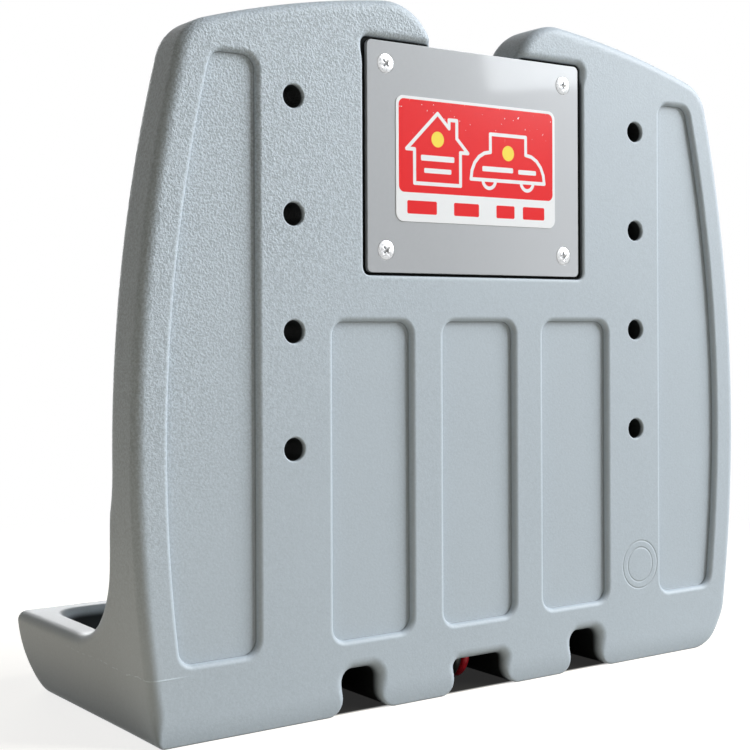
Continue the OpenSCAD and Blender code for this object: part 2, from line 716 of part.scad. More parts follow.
// A small pan-head screw that points down its own Z, its head's seat at the origin
module small_screw(l) {
    arm = small_screw_d * 0.6;
    slot_w = small_screw_d * 0.24;
    difference() {
        union() {
            cylinder(d = small_screw_d * 2, h = small_head_h);
            translate([0, 0, -l]) cylinder(d = small_screw_d, h = l + lap);
        }
        for (t = [0, 90]) rotate([0, 0, t])
            translate([-arm, -slot_w / 2, small_head_h / 2]) cube([2 * arm, slot_w, small_head_h / 2 + past]);
    }
}

module board_screws() {
    color("lightgray") for (x = [-board_x, board_x]) for (z = [-board_z, board_z])
        on_board(x, z) small_screw(board_t + standoff_h + board_screw_bite);
}

// Transformer: a flat laminated core with its winding on the middle leg
module transformer_core() {
    color("dimgray") on_board(transformer_at.x, transformer_at.y) translate([0, 0, core_lift]) difference() {
        translate([-core_w / 2, -core_l / 2, 0]) cube([core_w, core_l, core_h]);
        for (x = [-1, 1]) translate([x * (leg_w + window_w) / 2 - window_w / 2, -window_l / 2, -past])
            cube([window_w, window_l, core_h + 2 * past]);
    }
}

module transformer_winding() {
    coil_w = leg_w + 2 * window_w - 2 * loose;
    coil_l = window_l - 2 * loose;
    color("peru") on_board(transformer_at.x, transformer_at.y) difference() {
        translate([-coil_w / 2, -coil_l / 2, 0]) cube([coil_w, coil_l, core_h + 2 * core_lift]);
        translate([-leg_w / 2 - clearance, -coil_l, core_lift])
            cube([leg_w + 2 * clearance, 2 * coil_l, core_h]);
    }
}

// A can capacitor that lies on the board along its own Y, with two leads bent down
module can_capacitor(d, l) {
    bead = d / 13;
    groove = 0.6 * bead;
    lift = clearance;
    wire = 0.8;
    reach = 2;
    translate([0, 0, d / 2 + lift]) {
        rotate([-90, 0, 0]) translate([0, 0, -l / 2]) rotate_extrude() polygon([
            [0, 0], [d / 2 - bead, 0], [d / 2, bead], [d / 2, 2 * bead], [d / 2 - groove, 3 * bead],
            [d / 2, 4 * bead], [d / 2, l - bead], [d / 2 - bead, l], [0, l]]);
        for (x = [-1, 1]) translate([x * d / 5 - wire / 2, -l / 2 - reach, -d / 2 - lift]) {
            cube([wire, wire, (d + wire) / 2 + lift]);
            translate([0, 0, (d - wire) / 2 + lift]) cube([wire, reach + past, wire]);
        }
    }
}

module mains_capacitor() {
    color("midnightblue") on_board(mains_can_at.x, mains_can_at.y) can_capacitor(mains_can_d, mains_can_l);
}

module output_capacitor() {
    color("midnightblue") on_board(output_can_at.x, output_can_at.y) rotate([0, 0, 90])
        can_capacitor(output_can_d, output_can_l);
}

module output_choke() {
    w = 0.54 * choke_r;
    c = 0.8;
    color("chocolate") on_board(choke_at.x, choke_at.y) rotate_extrude() translate([choke_r - w, 0]) polygon([
        [0, c], [c, 0], [w - c, 0], [w, c], [w, choke_h - c], [w - c, choke_h], [c, choke_h],
        [0, choke_h - c]]);
}

// A flat moulded package that stands on its leads, its own X across
module package(w, t, leads, pitch) {
    leg = 2.5;
    wire = [0.8, 0.6];
    translate([-w / 2, -t / 2, leg]) cube([w, t, package_h]);
    for (i = [0 : leads - 1]) translate([(i - (leads - 1) / 2) * pitch - wire.x / 2, -wire.y / 2, 0])
        cube([wire.x, wire.y, leg + lap]);
}

module bridge_rectifier() {
    color("black") on_board(rectifier_at.x, rectifier_at.y)
        package(rectifier_w, rectifier_t, 4, rectifier_w / 4);
}

module power_transistor() {
    color("black") on_board(sink_at.x - (sink_w + transistor_t) / 2, sink_at.y) rotate([0, 0, 90])
        package(transistor_w, transistor_t, 3, 0.29 * transistor_w);
}

module heat_sink() {
    base_t = 3;
    fin_t = 1.4;
    fins = 6;
    color("silver") on_board(sink_at.x - sink_w / 2, sink_at.y - sink_l / 2) linear_extrude(sink_h) {
        square([base_t, sink_l]);
        for (i = [0 : fins - 1]) translate([0, i * (sink_l - fin_t) / (fins - 1)]) square([sink_w, fin_t]);
    }
}

module fuse() {
    cap_l = fuse_l / 4;
    cap_t = 0.3;
    color("whitesmoke") on_board(fuse_at.x, fuse_at.y) translate([-fuse_l / 2, 0, fuse_up])
        rotate([0, 90, 0]) rotate_extrude() polygon([
            [0, 0], [fuse_r, 0], [fuse_r, cap_l], [fuse_r - cap_t, cap_l], [fuse_r - cap_t, fuse_l - cap_l],
            [fuse_r, fuse_l - cap_l], [fuse_r, fuse_l], [0, fuse_l]]);
}

module fuse_clips() {
    clip_l = 4;
    clip_t = 0.5;
    inner_r = fuse_r + clearance / 2;
    foot_w = 3;
    mouth_w = foot_w + 0.2;
    color("silver") for (x = [-1, 1])
        on_board(fuse_at.x + x * 3 / 8 * fuse_l, fuse_at.y) translate([-clip_l / 2, 0, 0])
            rotate([90, 0, 90]) linear_extrude(clip_l) difference() {
                union() {
                    translate([0, fuse_up]) circle(inner_r + clip_t);
                    translate([-foot_w / 2, 0]) square([foot_w, fuse_up]);
                }
                translate([0, fuse_up]) circle(inner_r);
                translate([-mouth_w / 2, fuse_up]) square([mouth_w, 2 * fuse_r]);
            }
}

// A two-pole screw terminal: wires enter along +Y, screws from the cover's side
module terminal() {
    difference() {
        translate([-terminal_w / 2, 0, 0]) cube([terminal_w, terminal_l, terminal_h]);
        for (x = [-1, 1]) translate([x * pole_pitch / 2, 0, 0]) {
            translate([0, -past, wire_up]) rotate([-90, 0, 0])
                cylinder(d = wire_hole_d, h = wire_hole_l + past);
            translate([0, terminal_l / 2, wire_up]) cylinder(d = well_d, h = terminal_h);
        }
    }
}

module output_terminal() {
    color("seagreen") on_board(0, out_terminal_z - plate_z) terminal();
}

module mains_terminal() {
    color("seagreen") on_board(0, in_terminal_z + terminal_l - plate_z) mirror([0, 1, 0]) terminal();
}

module terminal_screws() {
    l = 0.87 * (terminal_h - wire_up);
    slot_w = 0.7;
    slot_d = 0.8;
    color("lightgray") for (x = [-1, 1]) for (z = [out_terminal_z, in_terminal_z])
        on_board(x * pole_pitch / 2, z + terminal_l / 2 - plate_z) translate([0, 0, wire_up]) difference() {
            cylinder(d = well_d - 2 * clearance, h = l);
            translate([-well_d / 2, -slot_w / 2, l - slot_d]) cube([well_d, slot_w, slot_d + past]);
        }
}

// A round lead swept along a route, one ring of points at each of its points
function unit(v) = v / norm(v);
module lead(points) {
    n = len(points);
    across = [1, 0, 0];
    loft([for (i = [0 : n - 1])
        let (along = unit(points[min(i + 1, n - 1)] - points[max(i - 1, 0)]),
             up = unit(cross(across, along)), out = cross(along, up))
        [for (k = [0 : lead_sides - 1]) let (t = 360 * k / lead_sides)
            points[i] + lead_d / 2 * (cos(t) * out - sin(t) * up)]]);
}

module lead_positive() {
    color("red") from_wall() lead(route);
}

module lead_negative() {
    color("black") from_wall() lead([for (p = route) [-p.x, p.y, p.z]]);
}

module contact_block() {
    plug = [plug_w - 2 * plug_gap, plug_l - 2 * plug_gap];
    color("dimgray") from_wall() translate([0, contact_y, 0]) difference() {
        union() {
            translate([0, 0, tray_floor_z]) linear_extrude(block_t) rounded(block_w, block_l, block_r);
            translate([-plug.x / 2, -plug.y / 2, plug_z]) cube([plug.x, plug.y, tray_floor_z - plug_z + lap]);
        }
        for (x = [-1, 1]) {
            translate([x * contact_pitch / 2, 0, plug_z - past])
                cylinder(d = stud_d + 2 * clearance, h = block_top_z - plug_z + 2 * past);
            translate([x * block_screw_x, 0, tray_floor_z - past])
                cylinder(d = small_screw_d + 2 * loose, h = block_t + 2 * past);
        }
    }
}

module block_screws() {
    color("lightgray") from_wall() for (x = [-1, 1])
        translate([x * block_screw_x, contact_y, block_top_z]) small_screw(block_t + block_screw_bite);
}

// A turned contact: a domed head on the block, a stud down through it
module contact() {
    top = block_top_z + contact_h;
    translate([0, contact_y, 0]) rotate_extrude() polygon([
        [0, stud_end_z], [stud_d / 2, stud_end_z], [stud_d / 2, block_top_z],
        [contact_r, block_top_z], [contact_r, top - 0.47 * contact_h],
        [0.88 * contact_r, top - 0.2 * contact_h], [0.63 * contact_r, top - 0.03 * contact_h], [0, top]]);
}

module contact_positive() {
    color("goldenrod") from_wall() translate([contact_pitch / 2, 0, 0]) contact();
}

module contact_negative() {
    color("goldenrod") from_wall() translate([-contact_pitch / 2, 0, 0]) contact();
}

module contact_nuts() {
    color("goldenrod") from_wall() for (x = [-1, 1])
        translate([x * contact_pitch / 2, contact_y, plug_z - lug_t - nut_h]) difference() {
            cylinder(d = nut_w, h = nut_h, $fn = 6);
            translate([0, 0, -past]) cylinder(d = stud_d + 2 * clearance, h = nut_h + 2 * past);
        }
}

module ring_lugs() {
    neck_w = 3;
    color("silver") from_wall() for (x = [-1, 1])
        translate([x * contact_pitch / 2, contact_y, plug_z - lug_t]) difference() {
            union() {
                cylinder(r = lug_r, h = lug_t);
                translate([-neck_w / 2, -2 / 3 * lug_l, 0]) cube([neck_w, lug_l / 2, lug_t]);
                translate([0, -lug_l, lead_end_z - plug_z + lug_t]) rotate([-90, 0, 0])
                    cylinder(r = barrel_r, h = lug_l / 2);
            }
            translate([0, 0, -past]) cylinder(d = stud_d + 2 * clearance, h = lug_t + 2 * past);
        }
}

dock_body();
cover_plate();
label();
cover_screws();
threaded_inserts();
mains_grommet();
charger_board();
board_screws();
transformer_core();
transformer_winding();
mains_capacitor();
output_capacitor();
output_choke();
bridge_rectifier();
power_transistor();
heat_sink();
fuse();
fuse_clips();
mains_terminal();
output_terminal();
terminal_screws();
lead_positive();
lead_negative();
contact_block();
block_screws();
contact_positive();
contact_negative();
contact_nuts();
ring_lugs();
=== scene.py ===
# %% [markdown]
# # A charging dock for a jump starter, dressed around its packed frame
# The dock is one moulded shell in light blue-grey plastic: an upright that hangs on a wall or
# stands on a bench, with a shallow tray in front of it. The view is from behind, so the wall side
# shows: five sunk panels, eight wall holes, a screwed cover with a sticker, and three cord channels.
# The frame, loaded first, holds every piece at its real size. What is made here either replaces one
# of its nodes with a finer surface in the same place, or gives a node its finish.

import json
import math

import bpy
import numpy as np
from mathutils import Matrix, Vector
from mathutils.geometry import delaunay_2d_cdt


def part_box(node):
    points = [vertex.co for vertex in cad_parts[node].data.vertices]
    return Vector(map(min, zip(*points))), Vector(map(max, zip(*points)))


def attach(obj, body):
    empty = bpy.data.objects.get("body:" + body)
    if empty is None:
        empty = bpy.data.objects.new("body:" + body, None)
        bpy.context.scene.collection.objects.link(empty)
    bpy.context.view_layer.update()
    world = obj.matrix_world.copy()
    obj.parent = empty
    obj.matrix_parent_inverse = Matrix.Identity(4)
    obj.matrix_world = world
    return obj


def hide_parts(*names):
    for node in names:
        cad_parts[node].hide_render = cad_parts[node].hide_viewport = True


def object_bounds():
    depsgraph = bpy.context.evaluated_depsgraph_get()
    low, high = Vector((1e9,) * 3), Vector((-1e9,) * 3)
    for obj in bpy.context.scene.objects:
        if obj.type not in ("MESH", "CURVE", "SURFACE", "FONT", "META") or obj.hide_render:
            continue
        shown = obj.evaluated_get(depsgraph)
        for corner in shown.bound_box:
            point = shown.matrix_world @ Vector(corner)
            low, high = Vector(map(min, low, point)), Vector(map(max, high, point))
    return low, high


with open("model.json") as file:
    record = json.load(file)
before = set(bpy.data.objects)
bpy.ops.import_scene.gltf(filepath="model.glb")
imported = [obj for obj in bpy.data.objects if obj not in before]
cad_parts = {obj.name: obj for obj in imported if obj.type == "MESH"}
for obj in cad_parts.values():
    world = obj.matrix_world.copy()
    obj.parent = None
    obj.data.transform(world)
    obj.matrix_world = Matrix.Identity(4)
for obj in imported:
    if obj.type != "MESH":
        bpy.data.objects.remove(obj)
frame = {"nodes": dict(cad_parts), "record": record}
NODES = frame["nodes"]
CAD_BOX = [list(corner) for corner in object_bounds()]
MM = 0.001
WALL_Y = CAD_BOX[0][1]
print("frame:", len(NODES), "nodes, box", CAD_BOX)


def node_box(name):
    """Lowest and highest corner of a CAD node in millimetres, with depth counted from the wall side."""
    corners = np.array([list(c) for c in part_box(name)]) / MM
    corners[:, 1] -= WALL_Y / MM
    return corners


# %% [markdown]
# ## The camera
# The photograph was taken from low down on the dock's left, looking level: all uprights stay
# parallel, and the horizon lies above the middle of the picture. A level camera with its frame
# shifted down gives exactly that. Tilting the camera instead would make the uprights converge.

# %% Place the camera
CAMERA_AT = (-420.3 * MM, -583.4 * MM, 168.7 * MM)
CAMERA_AZIMUTH = math.radians(35.08)
CAMERA_ROLL = math.radians(0.23)
CAMERA_LENS = 68.27
HORIZON_SHIFT = -0.0635


def place_camera():
    """A level camera whose right and up are turned about its view by the roll: cos * right - sin * up."""
    data = bpy.data.cameras.new("photo_camera")
    data.lens = CAMERA_LENS
    data.sensor_width = 36
    data.shift_y = HORIZON_SHIFT
    data.clip_start, data.clip_end = 0.05, 20
    camera = bpy.data.objects.new("photo_camera", data)
    ahead = Vector((math.sin(CAMERA_AZIMUTH), math.cos(CAMERA_AZIMUTH), 0))
    right = Vector((math.cos(CAMERA_AZIMUTH), -math.sin(CAMERA_AZIMUTH), 0))
    up = Vector((0, 0, 1))
    tilted = math.cos(CAMERA_ROLL) * right - math.sin(CAMERA_ROLL) * up
    upward = math.cos(CAMERA_ROLL) * up + math.sin(CAMERA_ROLL) * right
    turn = Matrix((tilted, upward, -ahead)).transposed().to_4x4()
    camera.matrix_world = Matrix.Translation(CAMERA_AT) @ turn
    bpy.context.scene.collection.objects.link(camera)
    bpy.context.scene.camera = camera
    return camera


CAMERA = place_camera()
print("camera at", [round(v, 4) for v in CAMERA.location])

# %% [markdown]
# ## Fields: shapes as numbers in space
# The shell has dozens of soft edges that run into each other at odd angles. Rounding them one by one
# with a bevel breaks down where three meet. A field does not: it is a function that says, for any
# point, how far that point lies from the surface, negative inside. Two fields are joined or cut by
# taking the smaller or the larger, and a rounded minimum or maximum puts a true fillet between them.

# %% Rounded cuts and joins


def both(a, b, r=0.0):
    """Intersection of two fields: the larger, with a quarter circle of radius r where their surfaces meet.

    Where both lie within r of their surfaces, the value is the distance from the fillet's centre line
    minus r: min(max(a, b), -r) + length(max(a + r, 0), max(b + r, 0))."""
    return np.minimum(np.maximum(a, b), -r) + np.hypot(np.maximum(a + r, 0), np.maximum(b + r, 0))


def either(a, b, r=0.0):
    """Union of two fields, with a concave fillet of radius r: the intersection turned inside out."""
    return -both(-a, -b, r)


def minus(a, b, r=0.0):
    """Field a with field b cut out of it, the edge rounded by r."""
    return both(a, -b, r)


def smooth(x, lo, hi):
    """Smooth step from 0 at lo to 1 at hi: 3t² - 2t³."""
    t = np.clip((x - lo) / (hi - lo), 0, 1)
    return t * t * (3 - 2 * t)


def blend(x, span, first, last):
    """A size that changes from first to last as x crosses the span: first + (last - first) * smooth step."""
    return first + (last - first) * smooth(x, *span)


def rounded_box(u, v, half_u, half_v, r):
    """Distance to a rectangle with rounded corners: the distance to a smaller rectangle, less r."""
    qu, qv = np.abs(u) - half_u + r, np.abs(v) - half_v + r
    return np.hypot(np.maximum(qu, 0), np.maximum(qv, 0)) + np.minimum(np.maximum(qu, qv), 0) - r


print("a square edge stands out of one rounded by 2 mm by", round(float(both(0.0, 0.0, 2.0)), 2), "mm")

# %% [markdown]
# ## The shell's sizes
# The overall width, depth and height come from the frame, and so do the cover, the wall holes and the
# grommet. The rest are the shell's own sizes in millimetres: x across, d from the wall side, z up.

# %% Name the shell's sizes
BODY_HI = node_box("dock_body")[1]
PLATE_LO, PLATE_HI = node_box("cover_plate")
HALF_W = BODY_HI[0]
BODY_D = BODY_HI[1]
HOLES = next(m for m in frame["record"]["mounts"] if m["name"] == "wall_holes_outer")
HOLE_X = HOLES["dims"]["spacing_x_mm"] / 2
HOLE_R = HOLES["dims"]["hole_r_mm"]
HOLE_MID_Z = HOLES["pos_m"][2] / MM
HOLE_ROWS = 4
HOLE_PITCH = HOLES["dims"]["spacing_y_mm"] / (HOLE_ROWS - 1)
HOLE_LOW_Z = HOLE_MID_Z - HOLE_PITCH * (HOLE_ROWS - 1) / 2
HOLE_PLACES = [(x, HOLE_LOW_Z + k * HOLE_PITCH) for x in (-HOLE_X, HOLE_X) for k in range(HOLE_ROWS)]

UPRIGHT_T = 30
SIDE_R, BELLY_Z = 680, 118
ARCH_R = 490
TOP_CORNER_R = 20
BASE_CORNER_R, LEFT_CORNER_R = 22, 3
BACK_EDGE_R, BACK_EDGE_BASE_R, FRONT_EDGE_R, NOTCH_EDGE_R = 5, 0.8, 12, 10
SHOULDER_R = 26
SHOULDER = np.array([50, BODY_HI[2] - SHOULDER_R])
NOTCH_Z, NOTCH_CORNER_R = 292, 3
PROW_R, PLAN_CORNER_R, TRAY_FLARE = 28, 5, 1.5

SIDE_C = np.array([HALF_W - SIDE_R, BELLY_Z])
ARCH_C = np.array([0, SHOULDER[1] - math.sqrt((ARCH_R - SHOULDER_R) ** 2 - SHOULDER[0] ** 2)])


def side_x(z, inset=0.0):
    """Half width of the shell at height z: the side is one long arc about SIDE_C."""
    return SIDE_C[0] + np.sqrt((SIDE_R - inset) ** 2 - (z - BELLY_Z) ** 2)


def where_circles_meet(a, ra, b, rb):
    """Where two circles meet, up and to the right: along their line of centres, then square to it."""
    gap = np.linalg.norm(b - a)
    u = (b - a) / gap
    along = (ra * ra - rb * rb + gap * gap) / (2 * gap)
    out = math.sqrt(ra * ra - along * along)
    square = np.array([-u[1], u[0]])
    return max((a + along * u + s * out * square for s in (-1, 1)), key=lambda p: p[0])


TOP_CORNER = where_circles_meet(SIDE_C, SIDE_R - TOP_CORNER_R, ARCH_C, ARCH_R - TOP_CORNER_R)
print("top corner centre", TOP_CORNER.round(2), "half width at the base", side_x(0).round(2))

# %% [markdown]
# ## The outline and the tray
# Seen from the wall side, the outline is four arcs and a straight base: two bulging sides, an arched
# top with a notch between round shoulders, and rounded corners. A corner's circle takes over only in
# the wedge between the two directions in which it touches its neighbours, so it stays a true circle.

# %% Field of the outline


def unit(v):
    """A direction of length 1: the vector over its own length."""
    return v / np.linalg.norm(v)


def corner(field, x, z, c, r, first, last):
    """field, with a circle of radius r about c in the wedge that turns anticlockwise from first to last."""
    u, v = x - c[0], z - c[1]
    wedge = (first[0] * v - first[1] * u >= 0) & (u * last[1] - v * last[0] >= 0)
    return np.where(wedge, np.hypot(u, v) - r, field)


def outline(x, d, z):
    """Distance to the outline above the base, seen from the wall side, at x right of the centre line.

    The tray's sides flare outwards by a little on their way forwards."""
    flare = TRAY_FLARE * np.clip((d - UPRIGHT_T) / (BODY_D - UPRIGHT_T), 0, 1)
    side = np.hypot(x - SIDE_C[0], z - SIDE_C[1]) - SIDE_R - flare
    arch = np.hypot(x - ARCH_C[0], z - ARCH_C[1]) - ARCH_R
    to_arch = unit(SHOULDER - ARCH_C)
    inner = to_arch[0] * (z - SHOULDER[1]) - to_arch[1] * (x - SHOULDER[0]) > 0
    round_shoulder = np.hypot(x - SHOULDER[0], z - SHOULDER[1]) - SHOULDER_R
    notch = either(round_shoulder, z - NOTCH_Z, NOTCH_CORNER_R)
    shape = np.maximum(side, np.where(inner, notch, arch))
    first, last = unit(TOP_CORNER - SIDE_C), unit(TOP_CORNER - ARCH_C)
    return corner(shape, x, z, TOP_CORNER, TOP_CORNER_R, first, last)


def base_and_front(d, z, left):
    """The base, the prow and the tray's front, and how far their edge with the sides is rounded.

    The bottom corners are tight on the left and wide on the right, and both turn into the front's
    upright corners on their way round the prow."""
    low = both(-z, d - BODY_D, PROW_R)
    corner_r = np.where(left, LEFT_CORNER_R, BASE_CORNER_R)
    return low, blend(d + z, (BODY_D - PROW_R, BODY_D), corner_r, PLAN_CORNER_R)


print("outline field on top of a shoulder:", round(float(outline(SHOULDER[0], 0.0, BODY_HI[2])), 3))

# %% [markdown]
# ## The upright's front and the tray
# The tray is a block with a basin in it. Its side rims sweep up into the upright by a quarter circle,
# while the basin's floor meets the upright in a small fillet. Both are drawn as profiles in depth and
# height, and the basin's walls choose between them.

# %% Field of the upright's front and the tray
RIM_Z, RIM_W, RIM_R, RIM_INNER_R = 35, 14, 5, 3
FLOOR_Z, FOOT_R = 22, 8
FOOT_BLEND_Z = (RIM_Z + 6, RIM_Z + 22)
SWEEP_R, BASIN_CORNER_R, BASIN_DRAFT = 45, 12, 3
DRAFT_SLOPE = BASIN_DRAFT / (RIM_Z - FLOOR_Z)


def front_and_tray(x, d, z):
    """The surface that looks forwards and up: the upright's front, the swept rims and the basin."""
    rim = either(d - UPRIGHT_T, z - RIM_Z, SWEEP_R)
    floor = either(d - UPRIGHT_T, z - FLOOR_Z, FOOT_R)
    lean = math.hypot(1, DRAFT_SLOPE)
    side_wall = (side_x(RIM_Z) - RIM_W - DRAFT_SLOPE * (RIM_Z - z) - x) / lean
    front_wall = (BODY_D - RIM_W - DRAFT_SLOPE * (RIM_Z - z) - d) / lean
    basin = either(side_wall, front_wall, BASIN_CORNER_R)
    return either(floor, both(rim, basin, RIM_INNER_R), blend(z, FOOT_BLEND_Z, FOOT_R, 0))


print("front field 5 mm over the basin's floor:", float(front_and_tray(0.0, 80.0, FLOOR_Z + 5.0)))

# %% [markdown]
# ## Channels, panels and pockets
# Cord channels run under the base with feet that flare out. The panels are sunk with drafted walls
# and wide soft lips, as a moulding needs to leave its mould. The cover lies in a shallow rebate over
# a pocket. Channels, rebate and pocket are fields that are cut out of the shell's. The panels and the
# wall holes are finer than the rulers, so they come later, as profiles carried along paths.

# %% Sizes of the cuts
SIDE_CHANNEL = dict(x=67, half_w=9, top=19, r=5, length=60)
MIDDLE_CHANNEL = dict(x=0, half_w=14.5, top=15, r=3, length=94)
CHANNEL_FOOT_R, CHANNEL_END_R = 9, 2
SUNK_D, SUNK_DRAFT, SUNK_R = 3.1, 0.15, 7
SUNK_LIP_R, SUNK_FLOOR_R, SUNK_INSET = 2.4, 0.5, 0.6
SUNK_LO_Z, SUNK_MID_HI_Z, SUNK_SIDE_HI_Z = 31.5, 172, 283.5
SUNK_HALF_W, SUNK_PITCH = 21.75, 60.5
SUNK_SIDE_X, SUNK_MARGIN = 118.5, 14.5
PLATE_Z = (PLATE_LO[2] + PLATE_HI[2]) / 2
REBATE_D = PLATE_HI[1]
REBATE_HALF = (PLATE_HI[0] + 2.6, (PLATE_HI[2] - PLATE_LO[2]) / 2 + 1.3)
REBATE_R, REBATE_FLOOR_R = 3.5, 0.4
REBATE_EDGE_R, REBATE_TOP_EDGE_R, REBATE_BLEND_Z = 1.0, 3.2, (PLATE_Z + 40, PLATE_Z + 48)
LEDGE_W, POCKET_D, POCKET_R, BOSS_R = 8, 25, 3, 9
SCREW_X, SCREW_Z = PLATE_HI[0] - 10, (PLATE_HI[2] - PLATE_LO[2]) / 2 - 10
INSERT_R, INSERT_D = 3.1, 15.8
DUCT_D, DUCT_R, GROMMET_R = 15, 6, 6.1
PLUG_MARGIN, PLUG_HALF_D, PLUG_R = 1.5, 8, 0.5
PAST = 1  # how far cuts run into each other, so that no skin stays between them
print("pocket:", [round(float(2 * (half - LEDGE_W)), 1) for half in REBATE_HALF], "mm across and up")

# %% [markdown]
# ## The whole shell as one field
# Outline, base, front and tray are joined first, and then the channels, the wall side's flat and the
# rebate are cut. The order matters, because each cut rounds the edge that it makes, by its own radius,
# and a radius may change along the edge: it is tight at the base and at the notch, and wide elsewhere.

# %% Fields of the cuts and of the shell
FRONT_BLEND_X, RIM_BLEND_Z, BACK_BLEND_Z = (40, 70), (60, 110), (0, 14)


def channel(x, d, z, c):
    """A cord channel: a tunnel with rounded upper corners, open below, that ends at its own depth."""
    section = rounded_box(x - c["x"], z, c["half_w"], c["top"], c["r"])
    return both(section, d - c["length"], CHANNEL_END_R)


def pocket(x, d, z):
    """The pocket behind the cover, its corners filled by bosses, with the bores for the inserts."""
    half_x, half_z = (half - LEDGE_W for half in REBATE_HALF)
    section = rounded_box(x, z - PLATE_Z, half_x, half_z, POCKET_R)
    corner_x, corner_z = SCREW_X - x, SCREW_Z - np.abs(z - PLATE_Z)
    boss = np.hypot(np.maximum(corner_x, 0), np.maximum(corner_z, 0)) - BOSS_R
    bore = np.hypot(corner_x, corner_z) - INSERT_R
    hollow = np.maximum(np.maximum(section, -boss), d - POCKET_D)
    return np.minimum(hollow, np.maximum(bore, d - INSERT_D))


def hidden_ducts(x, d, z):
    """The leads' duct below the pocket, the grommet's bore above it, and the slot for the contacts' plug."""
    across = np.hypot(x, d - DUCT_D)
    channel_roof = MIDDLE_CHANNEL["top"] - PAST
    duct = np.maximum(across - DUCT_R, np.maximum(channel_roof - z, z - PLATE_Z))
    bore = np.maximum(across - GROMMET_R, PLATE_Z - z)
    plug_d = node_box("contact_block")[:, 1].mean()
    plug = rounded_box(x, d - plug_d, MIDDLE_CHANNEL["half_w"] - PLUG_MARGIN, PLUG_HALF_D, PLUG_R)
    slot = np.maximum(plug, np.maximum(channel_roof - z, z - FLOOR_Z - PAST))
    return np.minimum(np.minimum(duct, bore), slot)


def shell(x, d, z):
    """Distance to the whole moulded shell, in millimetres. Only its bottom corners differ left and right."""
    left = x < 0
    x = np.abs(x)
    low, corner_r = base_and_front(d, z, left)
    shape = both(outline(x, d, z), low, corner_r)
    for c in (SIDE_CHANNEL, MIDDLE_CHANNEL):
        shape = minus(shape, channel(x, d, z, c), CHANNEL_FOOT_R)
    front_r = blend(x, FRONT_BLEND_X, NOTCH_EDGE_R, FRONT_EDGE_R)
    shape = both(shape, front_and_tray(x, d, z), blend(z, RIM_BLEND_Z, RIM_R, front_r))
    shape = both(shape, -d, blend(z, BACK_BLEND_Z, BACK_EDGE_BASE_R, BACK_EDGE_R))
    rebate = both(rounded_box(x, z - PLATE_Z, *REBATE_HALF, REBATE_R), d - REBATE_D, REBATE_FLOOR_R)
    shape = minus(shape, rebate, blend(z, REBATE_BLEND_Z, REBATE_EDGE_R, REBATE_TOP_EDGE_R))
    return np.maximum(np.maximum(shape, -pocket(x, d, z)), -hidden_ducts(x, d, z))


print("shell field at the middle of the upright:", float(shell(np.float64(100.0), 15.0, 250.0)))

# %% [markdown]
# ## Rulers, slopes and sliding
# To become a mesh, space is cut into boxes by three rulers. They are fine where edges are tight and
# coarse along straight stretches. A field's slope points straight away from its surface, so it gives
# the exact normal, and it shows a point the shortest way on to the surface.

# %% Rulers, slopes and sliding


def ruler(lo, hi, stops, fine, coarse, growth=0.25):
    """Grid lines from lo to hi: fine steps within each stop's reach, growing with distance from it."""
    stops = np.array(stops, float)
    lines = [lo]
    while lines[-1] < hi:
        away = np.min(np.maximum(np.abs(lines[-1] - stops[:, 0]) - stops[:, 1], 0))
        lines.append(lines[-1] + min(coarse, fine + growth * away))
    return np.array(lines)


def slope(field, p, step=0.02):
    """The field's gradient at each point, by central differences."""
    grad = np.empty_like(p)
    for k in range(3):
        e = np.zeros(3)
        e[k] = step
        a, b = p + e, p - e
        grad[:, k] = (field(*a.T) - field(*b.T)) / (2 * step)
    return grad


def slide(field, p, rounds=4, longest=1.0, flattest=0.05):
    """Moves points onto the field's surface by Newton's step: back along the slope g by field * g / g².

    No step is longer than a millimetre, and g² counts as flattest where it is less."""
    for _ in range(rounds):
        g = slope(field, p)
        step = -field(*p.T)[:, None] * g / np.maximum((g * g).sum(1), flattest)[:, None]
        size = np.linalg.norm(step, axis=1, keepdims=True)
        p = p + step * np.minimum(1, longest / np.maximum(size, 1e-9))
    return p


print("a ruler that is fine near 10:", ruler(0, 20, [(10, 2)], 1.0, 3.0).round(1).tolist())

# %% [markdown]
# ## From a field to a mesh
# A surface net turns a field into quads. Every box that the surface passes through gets one vertex,
# and every edge of a box that the surface crosses gets one quad, through the four boxes round it.
# Each vertex is then slid along the slope until it lies on the surface. A ball tries it out.

# %% The surface net


